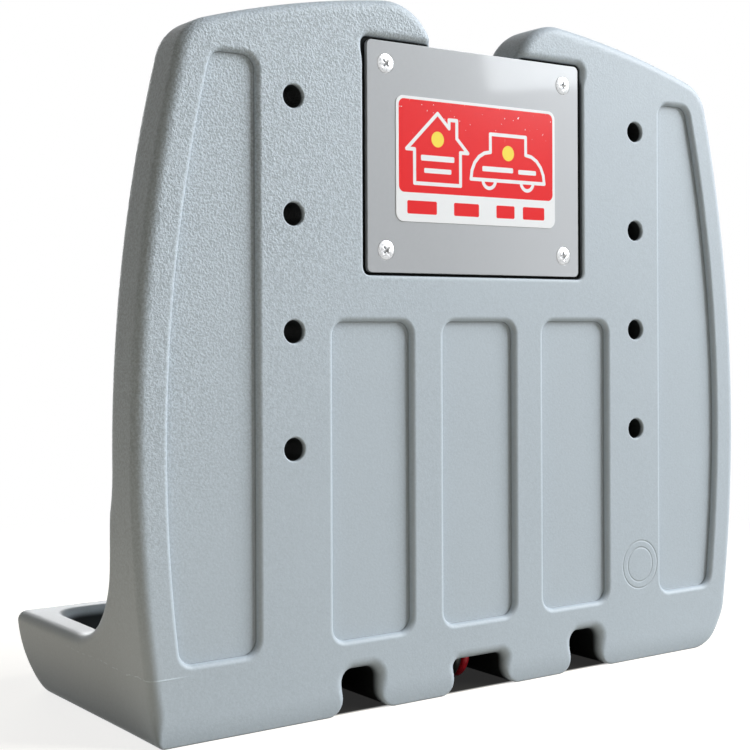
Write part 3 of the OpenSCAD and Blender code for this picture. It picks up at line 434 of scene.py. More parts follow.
def surface_net(field, rulers):
    """Vertices and quads of the field's surface on the grid of the three rulers.

    A vertex is the mean of the points where its box's edges cross the surface."""
    axes = [np.asarray(r, float) for r in rulers]
    values = field(axes[0][:, None, None], axes[1][None, :, None], axes[2][None, None, :])
    inside = values < 0
    boxes = np.array([len(r) - 1 for r in axes])
    ids, points, quads = [], [], []
    for k in range(3):
        lo = [slice(None)] * 3
        hi = [slice(None)] * 3
        lo[k], hi[k] = slice(None, -1), slice(1, None)
        at = np.argwhere(inside[tuple(lo)] != inside[tuple(hi)])
        ahead = at.copy()
        ahead[:, k] += 1
        f0, f1 = values[tuple(at.T)], values[tuple(ahead.T)]
        t = (f0 / (f0 - f1))[:, None]
        p = np.stack([axes[j][at[:, j]] for j in range(3)], 1)
        q = np.stack([axes[j][ahead[:, j]] for j in range(3)], 1)
        p = p + t * (q - p)
        a, b = (k + 1) % 3, (k + 2) % 3
        ring = []
        for da, db in ((-1, -1), (0, -1), (0, 0), (-1, 0)):
            box = at.copy()
            box[:, a] += da
            box[:, b] += db
            ok = np.all((box >= 0) & (box < boxes), axis=1)
            flat = np.where(ok, (box[:, 0] * boxes[1] + box[:, 1]) * boxes[2] + box[:, 2], -1)
            ids.append(flat[ok])
            points.append(p[ok])
            ring.append(flat)
        ring = np.stack(ring, 1)
        entering = f0 >= 0
        ring[entering] = ring[entering][:, ::-1]
        quads.append(ring[np.all(ring >= 0, axis=1)])
    ids, points, quads = np.concatenate(ids), np.concatenate(points), np.concatenate(quads)
    used, index = np.unique(ids, return_inverse=True)
    number = np.bincount(index)
    vertices = np.stack([np.bincount(index, points[:, j]) / number for j in range(3)], 1)
    return slide(field, vertices), np.searchsorted(used, quads)


def ball(x, y, z):
    """Distance to a ball of 10 mm, to try the net on."""
    return np.sqrt(x * x + y * y + z * z) - 10


tried = surface_net(ball, [np.linspace(-12, 12, 13)] * 3)
print("a ball as a net:", len(tried[0]), "points, off by", float(np.abs(ball(*tried[0].T)).max().round(6)))

# %% [markdown]
# ## Rulers for the shell
# Each stop below is a place and its reach, in millimetres: the edges of the channels, the rims, the
# foot, the cover and the notch. Within its reach the ruler's steps are fine, and further off they grow.

# %% Lay the rulers
FINE, X_COARSE, COARSE, OUTSIDE = 1.0, 3.0, 4.0, 1.5
X_STOPS = [(14.5, 9), (66, 18), (157.5, 4.5), (172, 5)]
D_STOPS = [(2, 7), (27, 5), (58, 4), (94, 1.5), (124, 3.5), (138, 3)]
Z_STOPS = [(9, 13), (34, 4), (64, 1), (192, 2), (294, 6)]
RIGHT_HALF = ruler(FINE / 2, HALF_W + 2, X_STOPS, FINE, X_COARSE)
SHELL_RULERS = [
    np.concatenate([-RIGHT_HALF[::-1], RIGHT_HALF]),
    ruler(-OUTSIDE, BODY_D + 2, D_STOPS, FINE, COARSE),
    ruler(-OUTSIDE, BODY_HI[2] + 2, Z_STOPS, FINE, COARSE),
]
print("rulers:", [len(r) for r in SHELL_RULERS])

# %% [markdown]
# ## A skin made of patches
# The finished shell is one closed surface in several patches: the net, flat faces, sunk panels and
# holes. All patches share one list of points, so a patch that starts at another's edge uses the same
# points and no seam can open. Every point carries its exact normal, which keeps the shading true.
# Points that lie in a panel's crease, where wall and floor meet, are noted too: shade is painted on them.

# %% The skin and its flat faces


class Skin:
    """One closed surface: shared points and normals (x, depth, z in millimetres), quads and triangles."""

    tiny = 1e-6

    def __init__(self):
        self.points = np.zeros((0, 3))
        self.normals = np.zeros((0, 3))
        self.faces = {3: [], 4: []}
        self.creased = []

    def add(self, points, normals):
        """Adds points with their normals and returns their indices."""
        first = len(self.points)
        self.points = np.vstack([self.points, np.reshape(points, (-1, 3))])
        self.normals = np.vstack([self.normals, np.reshape(normals, (-1, 3))])
        return first + np.arange(len(self.points) - first)

    def strip(self, rows, closed=True):
        """Quads between neighbouring rows of indices: (i, j), (i, j+1), (i+1, j+1), (i+1, j)."""
        rows = np.asarray(rows)
        if closed:
            rows = np.hstack([rows, rows[:, :1]])
        quads = np.stack([rows[:-1, :-1], rows[:-1, 1:], rows[1:, 1:], rows[1:, :-1]], -1)
        self.faces[4].append(quads.reshape(-1, 4))

    def fill(self, edges, axis, facing):
        """Triangles over the flat region whose border is the given edges, in one plane square to axis.

        A triangle belongs to the region when a line from its centre crosses the border an odd number
        of times, and is dropped when its three points lie in one line."""
        used, edges = np.unique(edges, return_inverse=True)
        edges = edges.reshape(-1, 2)
        flat = self.points[used][:, [k for k in range(3) if k != axis]]
        made = delaunay_2d_cdt([Vector(p) for p in flat], edges.tolist(), [], 0, 1e-7)
        triangles = np.array(made[2])
        centre = flat[triangles].mean(1)
        a, b = flat[edges[:, 0]], flat[edges[:, 1]]
        spans = (a[:, 1] > centre[:, None, 1]) != (b[:, 1] > centre[:, None, 1])
        with np.errstate(divide="ignore", invalid="ignore"):
            cut = a[:, 0] + (centre[:, None, 1] - a[:, 1]) * (b[:, 0] - a[:, 0]) / (b[:, 1] - a[:, 1])
        inside = (spans & (cut > centre[:, None, 0])).sum(1) % 2 == 1
        side_a, side_b = (flat[triangles[:, k]] - flat[triangles[:, 0]] for k in (1, 2))
        real = np.abs(side_a[:, 0] * side_b[:, 1] - side_a[:, 1] * side_b[:, 0]) > self.tiny
        triangles = used[triangles[inside & real]]
        if facing * (-1 if axis == 1 else 1) < 0:
            triangles = triangles[:, ::-1]
        self.faces[3].append(triangles)

    def loop(self, ring):
        """The edges of a closed ring of indices."""
        return np.stack([ring, np.roll(ring, -1)], 1)

    def cap(self, ring, facing):
        """Closes a ring with a flat fan round its centre, which faces the given way."""
        centre = self.add(self.points[ring].mean(0), facing)[0]
        fan = np.stack([ring, np.roll(ring, -1), np.full(len(ring), centre)], 1)
        p = self.points[fan[0]]
        if np.dot(np.cross(p[1] - p[0], p[2] - p[0]), facing) < 0:
            fan = fan[:, ::-1]
        self.faces[3].append(fan)

    def smooth_normals(self):
        """Gives each point that has no normal yet the mean of its quads' normals, by their areas."""
        quads = np.vstack(self.faces[4])
        corners = self.points[quads]
        square = np.cross(corners[:, 2] - corners[:, 0], corners[:, 3] - corners[:, 1])
        total = np.zeros_like(self.points)
        for k in range(4):
            np.add.at(total, quads[:, k], square)
        bare = ~self.normals.any(1)
        self.normals[bare] = total[bare]


trial = Skin()
square = trial.add([(0, 0, 0), (1, 0, 0), (1, 0, 1), (0, 0, 1)], [(0, -1, 0)] * 4)
trial.fill(trial.loop(square), 1, -1)
print("a square is filled with", len(trial.faces[3][0]), "triangles")

# %% [markdown]
# ## From a skin to a Blender object
# Blender's meshes take whole arrays at once: points, then the corners of all faces in a row, then where
# each face starts in that row. The object itself stays at the origin, unturned, and its points are
# moved instead, because a finish that reads object coordinates then lines up with the frame's pieces.

# %% Make an object that stands for a CAD node


def stacked(faces, corners):
    """All the faces with that many corners as one array, which may be empty."""
    return np.vstack(faces[corners]) if faces[corners] else np.zeros((0, corners), int)


def make_piece(skin, name, node, material):
    """The skin as an object in metres, in the frame's axes, that rides the root and replaces its node."""
    triangles, quads = stacked(skin.faces, 3), stacked(skin.faces, 4)
    in_a_row = np.concatenate([triangles.ravel(), quads.ravel()])
    used = np.unique(in_a_row)
    corners = np.searchsorted(used, in_a_row)
    sizes = np.concatenate([np.full(len(triangles), 3), np.full(len(quads), 4)])
    points = skin.points[used] * MM
    points[:, 1] += WALL_Y
    mesh = bpy.data.meshes.new(name)
    mesh.vertices.add(len(points))
    mesh.vertices.foreach_set("co", points.ravel())
    mesh.loops.add(len(corners))
    mesh.loops.foreach_set("vertex_index", corners)
    mesh.polygons.add(len(sizes))
    mesh.polygons.foreach_set("loop_start", np.concatenate([[0], np.cumsum(sizes)[:-1]]))
    mesh.update(calc_edges=True)
    mesh.polygons.foreach_set("use_smooth", np.ones(len(sizes), bool))
    normals = skin.normals[used]
    normals /= np.maximum(np.linalg.norm(normals, axis=1, keepdims=True), 1e-9)
    mesh.normals_split_custom_set_from_vertices(normals.tolist())
    # Points in a panel's crease carry a mark, where the shell's finish paints shade
    if skin.creased:
        line = mesh.attributes.new("crease_shade", "FLOAT", "POINT")
        line.data.foreach_set("value", np.isin(used, np.concatenate(skin.creased)).astype(float))
    mesh.materials.append(material)
    piece = bpy.data.objects.new(name, mesh)
    bpy.context.scene.collection.objects.link(piece)
    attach(piece, "root")
    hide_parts(node)
    print(f"{name}: {len(points)} points, {len(triangles) + 2 * len(quads)} triangles")


# %% [markdown]
# ## Profiles carried along a path
# A sunk panel, a hole's rim and a plate's edge are all one profile carried along a closed path. The
# path is a chain of arcs, which gives its points and outward normals exactly. Straight runs need no
# points of their own: they are simply the gaps between two arcs.

# %% Paths and profiles


def arc_path(arcs):
    """Points and outward normals of a closed path of arcs (centre, radius, first and last angle, steps).

    A point is centre + radius * (cos, sin) of its angle, and its normal is that same (cos, sin). Where
    two arcs share an end, it is kept once."""
    points, normals = [], []
    for centre, radius, first, last, steps in arcs:
        angle = np.radians(np.linspace(first, last, steps + 1))
        out = np.stack([np.cos(angle), np.sin(angle)], 1)
        points.append(np.asarray(centre) + radius * out)
        normals.append(out)
    points, normals = np.vstack(points), np.vstack(normals)
    apart = np.linalg.norm(points - np.roll(points, 1, 0), axis=1) > 1e-6
    return points[apart], normals[apart]


def circle(x, z, r, points=48):
    """A circle as a path that stops one step short of its start."""
    return arc_path([((x, z), r, 0, 360 - 360 / points, points - 1)])


def rounded_rectangle(cx, cz, half_x, half_z, r, steps=10):
    """A rectangle with rounded corners as a path, anticlockwise seen from the wall side."""
    in_x, in_z = half_x - r, half_z - r
    turns = ((1, 1, 0), (-1, 1, 90), (-1, -1, 180), (1, -1, 270))
    return arc_path([((cx + sx * in_x, cz + sz * in_z), r, a, a + 90, steps) for sx, sz, a in turns])


def carry(skin, path, profile):
    """Carries a profile along a path: rows of points at path + offset * normal, at the profile's depths.

    profile rows are (offset, depth, normal across, normal in depth); returns the rows' indices."""
    points, normals = path
    rows = []
    for offset, depth, across, down in profile:
        at = points + offset * normals
        p = np.stack([at[:, 0], np.full(len(at), depth), at[:, 1]], 1)
        n = np.stack([across * normals[:, 0], np.full(len(at), down), across * normals[:, 1]], 1)
        rows.append(skin.add(p, n))
    return np.array(rows)


def panel_profile(depth, draft, lip_r, floor_r, inset, steps=6):
    """The section of a sunk panel: lip, drafted wall and floor fillet, as quarter-like arcs.

    The wall starts at inset inside the path. With the wall's lean a, the lip's normal turns from
    straight out to the wall's, and the floor's back again. Each arc's centre lies one radius from both
    of the lines that it joins."""
    a = math.atan2(draft, depth)
    turn = np.linspace(0, math.pi / 2 - a, steps + 1)
    sin, cos = np.sin(turn), np.cos(turn)
    lip_x = lip_r * (1 - math.sin(a)) / math.cos(a) - inset
    lip = np.stack([lip_x - lip_r * sin, lip_r - lip_r * cos, -sin, -cos], 1)
    floor_x = (-floor_r - (depth - floor_r) * math.sin(a)) / math.cos(a) - inset
    floor = np.stack([floor_x + floor_r * sin, depth - floor_r + floor_r * cos, -sin, -cos], 1)
    return np.vstack([lip, floor[::-1]])


PANEL_PROFILE = panel_profile(SUNK_D, SUNK_DRAFT, SUNK_LIP_R, SUNK_FLOOR_R, SUNK_INSET)
print("panel profile, first and last row:", PANEL_PROFILE.round(2)[[0, -1]].tolist())

# %% [markdown]
# ## The panels and the wall holes
# Three panels are plain upright rectangles. The outer two follow the bulging sides, so their outer
# edge is an arc about the same centre as the side. The wall holes go through the upright, with a
# small rounded rim at both ends.

# %% Paths of the panels, profile of a hole
HOLE_RIM_R = 0.8


def panel_paths():
    """The five panels' outlines at the wall side: three upright rectangles and one curved panel a side."""
    mid_z, half_h = (SUNK_LO_Z + SUNK_MID_HI_Z) / 2, (SUNK_MID_HI_Z - SUNK_LO_Z) / 2
    paths = [rounded_rectangle(x, mid_z, SUNK_HALF_W, half_h, SUNK_R) for x in (-SUNK_PITCH, 0, SUNK_PITCH)]
    inner_x, low_z, high_z = SUNK_SIDE_X + SUNK_R, SUNK_LO_Z + SUNK_R, SUNK_SIDE_HI_Z - SUNK_R
    low = np.array([side_x(low_z, SUNK_MARGIN + SUNK_R), low_z])
    high = np.array([side_x(high_z, SUNK_MARGIN + SUNK_R), high_z])
    low_a, high_a = (math.degrees(math.atan2(*(p - SIDE_C)[::-1])) for p in (low, high))
    side_steps, corner_steps = 36, 10
    right = arc_path([
        (SIDE_C, SIDE_R - SUNK_MARGIN, low_a, high_a, side_steps),
        (high, SUNK_R, high_a, 90, corner_steps),
        ((inner_x, high_z), SUNK_R, 90, 180, corner_steps),
        ((inner_x, low_z), SUNK_R, 180, 270, corner_steps),
        (low, SUNK_R, 270, 360 + low_a, corner_steps),
    ])
    mirror = [v[::-1] * [-1, 1] for v in right]
    return paths + [right, tuple(mirror)]


def hole_profile(thickness, rim_r, steps=4):
    """A hole through the upright: rounded rim at the wall side, bore, and rounded rim at the front."""
    turn = np.linspace(0, math.pi / 2, steps + 1)
    sin, cos = np.sin(turn), np.cos(turn)
    rim = np.stack([rim_r * (1 - sin), rim_r * (1 - cos), -sin, -cos], 1)
    front = rim[::-1] * [1, -1, 1, -1] + [0, thickness, 0, 0]
    return np.vstack([rim, front])


print("panels:", [len(path[0]) for path in panel_paths()], "points round each")

# %% [markdown]
# ## The shell's mesh
# The net gives every rounded part. Where it is flat, its many small quads are taken out and the gap
# is filled with a few triangles that run between its border, the panels' lips and the holes' rims.

# %% Build the shell
# Axis, level and facing of each flat; the wall side and the upright's front come first
FLATS = [
    (1, 0.0, -1),
    (1, UPRIGHT_T, 1),
    (1, POCKET_D, -1),
    (1, REBATE_D, -1),
    (1, BODY_D, 1),
    (2, 0.0, -1),
    (2, FLOOR_Z, 1),
]


def take_flat(points, quads, axis, level, facing, near=2e-3):
    """Splits off the quads that lie in one plane and face one way; returns the rest and the gap's edges."""
    on = np.abs(points[:, axis] - level) < near
    points[on, axis] = level
    d1 = points[quads[:, 2]] - points[quads[:, 0]]
    d2 = points[quads[:, 3]] - points[quads[:, 1]]
    flat = on[quads].all(1) & (np.cross(d1, d2)[:, axis] * facing > 0)
    gone = quads[flat]
    ends = np.vstack([gone[:, [k, (k + 1) % 4]] for k in range(4)])
    key = np.sort(ends, 1) @ np.array([len(points), 1])
    _, where, count = np.unique(key, return_index=True, return_counts=True)
    return quads[~flat], ends[where[count == 1]]


def build_shell():
    """The net without its flats, the panels and holes, and the flats filled in between them all."""
    skin = Skin()
    points, quads = surface_net(shell, SHELL_RULERS)
    borders = []
    for plane in FLATS:
        quads, edges = take_flat(points, quads, *plane)
        borders.append([edges])
    skin.add(points, slope(shell, points))
    skin.faces[4].append(quads)
    wall, front = borders[:2]
    for path in panel_paths():
        rows = carry(skin, path, PANEL_PROFILE)
        skin.strip(rows)
        # The crease's rows are marked for painted shade
        skin.creased.append(rows[len(rows) // 2:-2].ravel())
        wall.append(skin.loop(rows[0]))
        skin.fill(skin.loop(rows[-1]), 1, -1)
    for x, z in HOLE_PLACES:
        rows = carry(skin, circle(x, z, HOLE_R), hole_profile(UPRIGHT_T, HOLE_RIM_R))
        skin.strip(rows)
        wall.append(skin.loop(rows[0]))
        front.append(skin.loop(rows[-1]))
    for (axis, _, facing), border in zip(FLATS, borders):
        edges = np.vstack(border)
        skin.normals[np.unique(edges)] = np.eye(3)[axis] * facing
        if len(edges):
            skin.fill(edges, axis, facing)
    return skin


SHELL = build_shell()
print("shell:", len(SHELL.points), "points, of which those under the flats are not used")

# %% [markdown]
# ## Arithmetic with nodes
# Every finish below is a formula over a point's place on the object, such as a stripe every half
# millimetre. Written as node links, a formula is long and hard to read, so a small class turns
# Python's own signs into math nodes: a + b, a * b, a < b.

# %% A number that is a node


def tree_of(owner):
    """The empty node tree of a material or a world."""
    owner.use_nodes = True
    tree = owner.node_tree
    tree.nodes.clear()
    return tree


class Num:
    """A shader socket that can be added, multiplied and compared; each sign makes one math node."""

    def __init__(self, tree, socket):
        self.tree, self.socket = tree, socket

    def math(self, operation, other=None):
        """One math node of this number, and of another where the operation takes two."""
        node = self.tree.nodes.new("ShaderNodeMath")
        node.operation = operation
        for slot, value in enumerate((self, other)):
            if isinstance(value, Num):
                self.tree.links.new(value.socket, node.inputs[slot])
            elif value is not None:
                node.inputs[slot].default_value = value
        return Num(self.tree, node.outputs[0])

    def __add__(self, other):
        return self.math("ADD", other)

    def __sub__(self, other):
        return self.math("SUBTRACT", other)

    def __mul__(self, other):
        return self.math("MULTIPLY", other)

    def __neg__(self):
        return self.math("MULTIPLY", -1.0)

    def __abs__(self):
        return self.math("ABSOLUTE")

    def over(self, edge, soft):
        """Rises from 0 to 1 as this number passes edge, within soft on both sides."""
        node = self.tree.nodes.new("ShaderNodeMapRange")
        node.interpolation_type = "SMOOTHSTEP"
        self.tree.links.new(self.socket, node.inputs["Value"])
        node.inputs["From Min"].default_value = edge - soft
        node.inputs["From Max"].default_value = edge + soft
        return Num(self.tree, node.outputs["Result"])

    def under(self, edge, soft):
        """Falls from 1 to 0 as this number passes edge."""
        return -self.over(edge, soft) + 1.0


def sum_of(numbers):
    """Adds up several node numbers."""
    total = None
    for number in numbers:
        total = number if total is None else total + number
    return total


print("a node number takes + - * and abs, and knows", [name for name in vars(Num) if name[0] != "_"])

# %% [markdown]
# ## A finish under construction
# Every finish starts from the same few things: the point's place in millimetres, noise of a given
# size, numbers that the mesh carries, and one Principled shader to plug them into. They are kept
# together in one class, so that a recipe is a few lines of arithmetic.

# %% The parts of a finish


class Finish:
    """A material under construction: object coordinates in millimetres, noise, and one Principled shader."""

    def __init__(self, name, colour, roughness, metallic=0.0, specular=0.5, coat=0.0):
        self.material = bpy.data.materials.new(name)
        self.tree = tree_of(self.material)
        self.shader = self.tree.nodes.new("ShaderNodeBsdfPrincipled")
        out = self.tree.nodes.new("ShaderNodeOutputMaterial")
        self.tree.links.new(self.shader.outputs[0], out.inputs["Surface"])
        self.set("Base Color", (*colour[:3], 1))
        self.set("Roughness", roughness)
        self.set("Metallic", metallic)
        self.set("Specular IOR Level", specular)
        self.set("Coat Weight", coat)
        self.place = self.tree.nodes.new("ShaderNodeTexCoord").outputs["Object"]
        split = self.tree.nodes.new("ShaderNodeSeparateXYZ")
        self.tree.links.new(self.place, split.inputs[0])
        self.x, self.d, self.z = (Num(self.tree, s) * (1 / MM) for s in split.outputs)
        self.d = self.d - WALL_Y / MM

    def set(self, socket, value):
        """Puts a number or colour that is the same all over on the shader's own socket."""
        self.shader.inputs[socket].default_value = value

    def link(self, socket, value):
        """Plugs a node number or a socket into the shader."""
        self.tree.links.new(value.socket if isinstance(value, Num) else value, self.shader.inputs[socket])

    def noise(self, size_mm, detail=2.0, stretch=(1, 1, 1)):
        """Noise from 0 to 1 whose lumps are about size_mm across."""
        scale = self.tree.nodes.new("ShaderNodeMapping")
        scale.vector_type = "POINT"
        scale.inputs["Scale"].default_value = [1 / (MM * size_mm * s) for s in stretch]
        self.tree.links.new(self.place, scale.inputs["Vector"])
        node = self.tree.nodes.new("ShaderNodeTexNoise")
        node.inputs["Scale"].default_value = 1.0
        node.inputs["Detail"].default_value = detail
        self.tree.links.new(scale.outputs[0], node.inputs["Vector"])
        return Num(self.tree, node.outputs["Fac"])

    def painted(self, name):
        """A number that the mesh carries at its points."""
        node = self.tree.nodes.new("ShaderNodeAttribute")
        node.attribute_name = name
        return Num(self.tree, node.outputs["Fac"])

    def mix(self, share, first, second):
        """first where share is 0 and second where it is 1, for colours or for colour sockets."""
        node = self.tree.nodes.new("ShaderNodeMix")
        node.data_type = "RGBA"
        self.tree.links.new(share.socket, node.inputs["Factor"])
        for name, value in (("A", first), ("B", second)):
            socket = next(s for s in node.inputs if s.name == name and s.type == "RGBA")
            if isinstance(value, (tuple, list)):
                socket.default_value = (*value[:3], 1)
            else:
                self.tree.links.new(value, socket)
        return next(s for s in node.outputs if s.type == "RGBA")

    def colour(self, share, first, second):
        """Mixes two colours straight into the base colour."""
        self.link("Base Color", self.mix(share, first, second))

    def bump(self, height_mm):
        """Bends the normals as if the surface rose by this many millimetres."""
        node = self.tree.nodes.new("ShaderNodeBump")
        node.inputs["Strength"].default_value = 1.0
        node.inputs["Distance"].default_value = MM
        self.tree.links.new(height_mm.socket, node.inputs["Height"])
        self.tree.links.new(node.outputs[0], self.shader.inputs["Normal"])


def shade(colour, factor):
    """A colour made darker or lighter by a factor."""
    return tuple(min(1.0, c * factor) for c in colour[:3])


def tinted(colour, tint):
    """A colour with each of its parts multiplied by the tint's."""
    return tuple(c * k for c, k in zip(colour, tint))


COLOURS = {m["slot"]: m["base_color"] for m in frame["record"]["materials"]}
print("slots:", sorted(COLOURS))

# %% [markdown]
# ## Drawing with distances
# Marks on a surface can be drawn without a picture: a stroke is the set of points within half its
# width of a line, and a disc the set within its radius of a point. So all that drawing needs is the
# distance from each point of the surface to a point, to a line of strokes or to a rounded box.

# %% Distances as nodes


class Drawn(Finish):
    """A finish that can also draw on the wall side's plane, by distances in millimetres."""

    def vector(self, operation, first, second=None):
        """A vector math node; first is a socket, and second a socket or three numbers."""
        node = self.tree.nodes.new("ShaderNodeVectorMath")
        node.operation = operation
        self.tree.links.new(first, node.inputs[0])
        if isinstance(second, tuple):
            node.inputs[1].default_value = second
        elif second is not None:
            self.tree.links.new(second, node.inputs[1])
        return node.outputs

    def to_point(self, x, z):
        """Distance from a point of the wall side's plane."""
        dx, dz = self.x - x, self.z - z
        return (dx * dx + dz * dz).math("SQRT")

    def to_line(self, points):
        """Distance to a line of straight strokes: the least of the distances to each stroke.

        Along a stroke, the nearest point lies at the offset's share in its direction, held between 0
        and the stroke's length."""
        flat = self.tree.nodes.new("ShaderNodeCombineXYZ")
        self.tree.links.new(self.x.socket, flat.inputs[0])
        self.tree.links.new(self.z.socket, flat.inputs[1])
        least = None
        for a, b in zip(points[:-1], points[1:]):
            length = math.dist(a, b)
            ahead = ((b[0] - a[0]) / length, (b[1] - a[1]) / length, 0)
            off = self.vector("SUBTRACT", flat.outputs[0], (*a, 0))[0]
            along = Num(self.tree, self.vector("DOT_PRODUCT", off, ahead)["Value"])
            along = along.math("MAXIMUM", 0.0).math("MINIMUM", length)
            step = self.tree.nodes.new("ShaderNodeVectorMath")
            step.operation = "SCALE"
            step.inputs[0].default_value = ahead
            self.tree.links.new(along.socket, step.inputs["Scale"])
            rest = self.vector("SUBTRACT", off, step.outputs[0])[0]
            gap = Num(self.tree, self.vector("LENGTH", rest)["Value"])
            least = gap if least is None else least.math("MINIMUM", gap)
        return least

    def to_box(self, cx, cz, half_x, half_z, r):
        """Distance to a rectangle with rounded corners, negative inside."""
        qx, qz = abs(self.x - cx) - (half_x - r), abs(self.z - cz) - (half_z - r)
        ox, oz = qx.math("MAXIMUM", 0.0), qz.math("MAXIMUM", 0.0)
        return (ox * ox + oz * oz).math("SQRT") + qx.math("MAXIMUM", qz).math("MINIMUM", 0.0) - r


print("shapes to draw with:", [name for name in vars(Drawn) if name.startswith("to_")])

# %% [markdown]
# ## The white room
# What the camera sees of the world is plain white, and so is what gloss and glass show of it. The
# world itself gives only a little light, because the photograph's shaded sides are dark.

# %% The world
WORLD_FILL = (0.034, 0.030, 0.022)


def seen_directly(tree):
    """1 for rays that show the background itself: from the camera, or by way of gloss or glass."""
    path = tree.nodes.new("ShaderNodeLightPath")
    rays = [Num(tree, path.outputs[f"Is {kind} Ray"]) for kind in ("Camera", "Glossy", "Transmission")]
    return rays[0].math("MAXIMUM", rays[1]).math("MAXIMUM", rays[2])


def mixed_shader(tree, share, first, second, out):
    """Plugs a mix of two shaders, first where share is 0, into the output."""
    mix = tree.nodes.new("ShaderNodeMixShader")
    tree.links.new(share.socket, mix.inputs[0])
    tree.links.new(first.outputs[0], mix.inputs[1])
    tree.links.new(second.outputs[0], mix.inputs[2])
    tree.links.new(mix.outputs[0], out.inputs["Surface"])


def make_world():
    """A world that is white where it is seen, and WORLD_FILL where it only gives light."""
    world = bpy.data.worlds.new("white_room")
    bpy.context.scene.world = world
    tree = tree_of(world)
    fill, white = (tree.nodes.new("ShaderNodeBackground") for _ in range(2))
    fill.inputs["Color"].default_value = (*WORLD_FILL, 1)
    white.inputs["Color"].default_value = (1, 1, 1, 1)
    mixed_shader(tree, seen_directly(tree), fill, white, tree.nodes.new("ShaderNodeOutputWorld"))


make_world()
print("world:", bpy.context.scene.world.name)

# %% [markdown]
# ## The floor
# It is matt and keeps the dock's shadow, with a glow on top that lifts what is seen of it to white,
# and further out it turns to pure white. Under the dock its colour and glow are painted nearly black,
# a painted shadow, so that the cord channels stay dark too: a floor that glows would shine up into them.

# %% The floor
FLOOR_COLOUR = (0.50, 0.465, 0.40)
FLOOR_GLOW, FLOOR_REACH = 0.80, 6.0
FLOOR_FADE = (0.18, 0.6)
SHADOW_HALF_X, SHADOW_D, SHADOW_SHARE = 0.094, (0.003, 0.11), 0.97


def floor_material():
    """Matt floor plus glow, with a painted shadow under the dock; white as its distance crosses FLOOR_FADE.
    """
    material = bpy.data.materials.new("pale_floor")
    tree = tree_of(material)
    place = tree.nodes.new("ShaderNodeTexCoord").outputs["Object"]
    split = tree.nodes.new("ShaderNodeSeparateXYZ")
    tree.links.new(place, split.inputs[0])
    x, d = Num(tree, split.outputs[0]), Num(tree, split.outputs[1]) - WALL_Y
    # Painted shadow: under the dock the floor's colour and glow are cut nearly to black
    painted_shadow = abs(x).under(SHADOW_HALF_X, 0.002) * d.over(SHADOW_D[0], 0.002) * d.under(SHADOW_D[1], 0.01)
    open_share = painted_shadow * -SHADOW_SHARE + 1.0
    glow = tree.nodes.new("ShaderNodeEmission")
    glow.inputs["Color"].default_value = (1, 1, 1, 1)
    strength = seen_directly(tree) * open_share * FLOOR_GLOW
    tree.links.new(strength.socket, glow.inputs["Strength"])
    ground = tree.nodes.new("ShaderNodeVectorMath")
    ground.operation = "SCALE"
    ground.inputs[0].default_value = FLOOR_COLOUR
    tree.links.new(open_share.socket, ground.inputs["Scale"])
    matt = tree.nodes.new("ShaderNodeBsdfDiffuse")
    tree.links.new(ground.outputs[0], matt.inputs["Color"])
    near = tree.nodes.new("ShaderNodeAddShader")
    tree.links.new(matt.outputs[0], near.inputs[0])
    tree.links.new(glow.outputs[0], near.inputs[1])
    away = tree.nodes.new("ShaderNodeVectorMath")
    away.operation = "LENGTH"
    tree.links.new(place, away.inputs[0])
    middle, half = sum(FLOOR_FADE) / 2, (FLOOR_FADE[1] - FLOOR_FADE[0]) / 2
    far_share = Num(tree, away.outputs["Value"]).over(middle, half) * seen_directly(tree)
    white, out = tree.nodes.new("ShaderNodeEmission"), tree.nodes.new("ShaderNodeOutputMaterial")
    mixed_shader(tree, far_share, near, white, out)
    return material


def make_floor():
    """A large square at height 0, which belongs to the stage and not to the object."""
    r = FLOOR_REACH
    mesh = bpy.data.meshes.new("floor")
    mesh.from_pydata([(-r, -r, 0), (r, -r, 0), (r, r, 0), (-r, r, 0)], [], [(0, 1, 2, 3)])
    mesh.materials.append(floor_material())
    floor = bpy.data.objects.new("floor", mesh)
    bpy.context.scene.collection.objects.link(floor)


make_floor()
print("floor:", 2 * FLOOR_REACH, "m across")

# %% [markdown]
# ## The lights
# One large soft light stands high on the right, as in the photograph: the left side and the right
# walls of the recesses lie in shade, and its reflection shows on the cover's upper right corner, so
# its place and size were worked out by mirroring it in the cover. Three weak ones help it. One on the
# left fills the shaded side. A warm card lies on the floor beside the tray and lights the side's foot
# from below. One behind, to the right, lights the tray side, which the photograph doesn't show, and
# can't reach the sides that it does show.

# %% Hang the lights
DOCK_MIDDLE = (0, 0, 0.16)
BESIDE_TRAY = (-0.285, 0.0, 0.0)


def area_light(name, azimuth, elevation, distance, size, power, colour, aim=DOCK_MIDDLE):
    """A soft light seen from the aim at an azimuth to the right of straight out from the wall side."""
    a, e = math.radians(azimuth), math.radians(elevation)
    away = Vector((math.sin(a) * math.cos(e), -math.cos(a) * math.cos(e), math.sin(e)))
    data = bpy.data.lights.new(name, "AREA")
    data.shape = "RECTANGLE"
    data.size, data.size_y = size
    data.energy = power
    data.color = colour
    light = bpy.data.objects.new(name, data)
    light.location = Vector(aim) + distance * away
    light.rotation_euler = away.to_track_quat("Z", "Y").to_euler()
    bpy.context.scene.collection.objects.link(light)
    return light


area_light("softbox", 56, 31, 3.0, (1.9, 2.1), 144, (0.965, 1.0, 1.035))
area_light("left_fill", -45, 15, 2.0, (1.4, 1.4), 2.6, (1.0, 0.92, 0.74))
card = area_light("bounce_card", -80, 90, 0.004, (0.20, 0.50), 0.095, (1.0, 0.84, 0.62), BESIDE_TRAY)
card.rotation_euler = (math.pi, 0, 0)
back = area_light("back_fill", 165, 10, 2.5, (1.1, 1.1), 24, (1.0, 1.0, 1.0))
for light in (card, back):
    light.visible_camera = False
bpy.context.scene.view_settings.view_transform = "Standard"
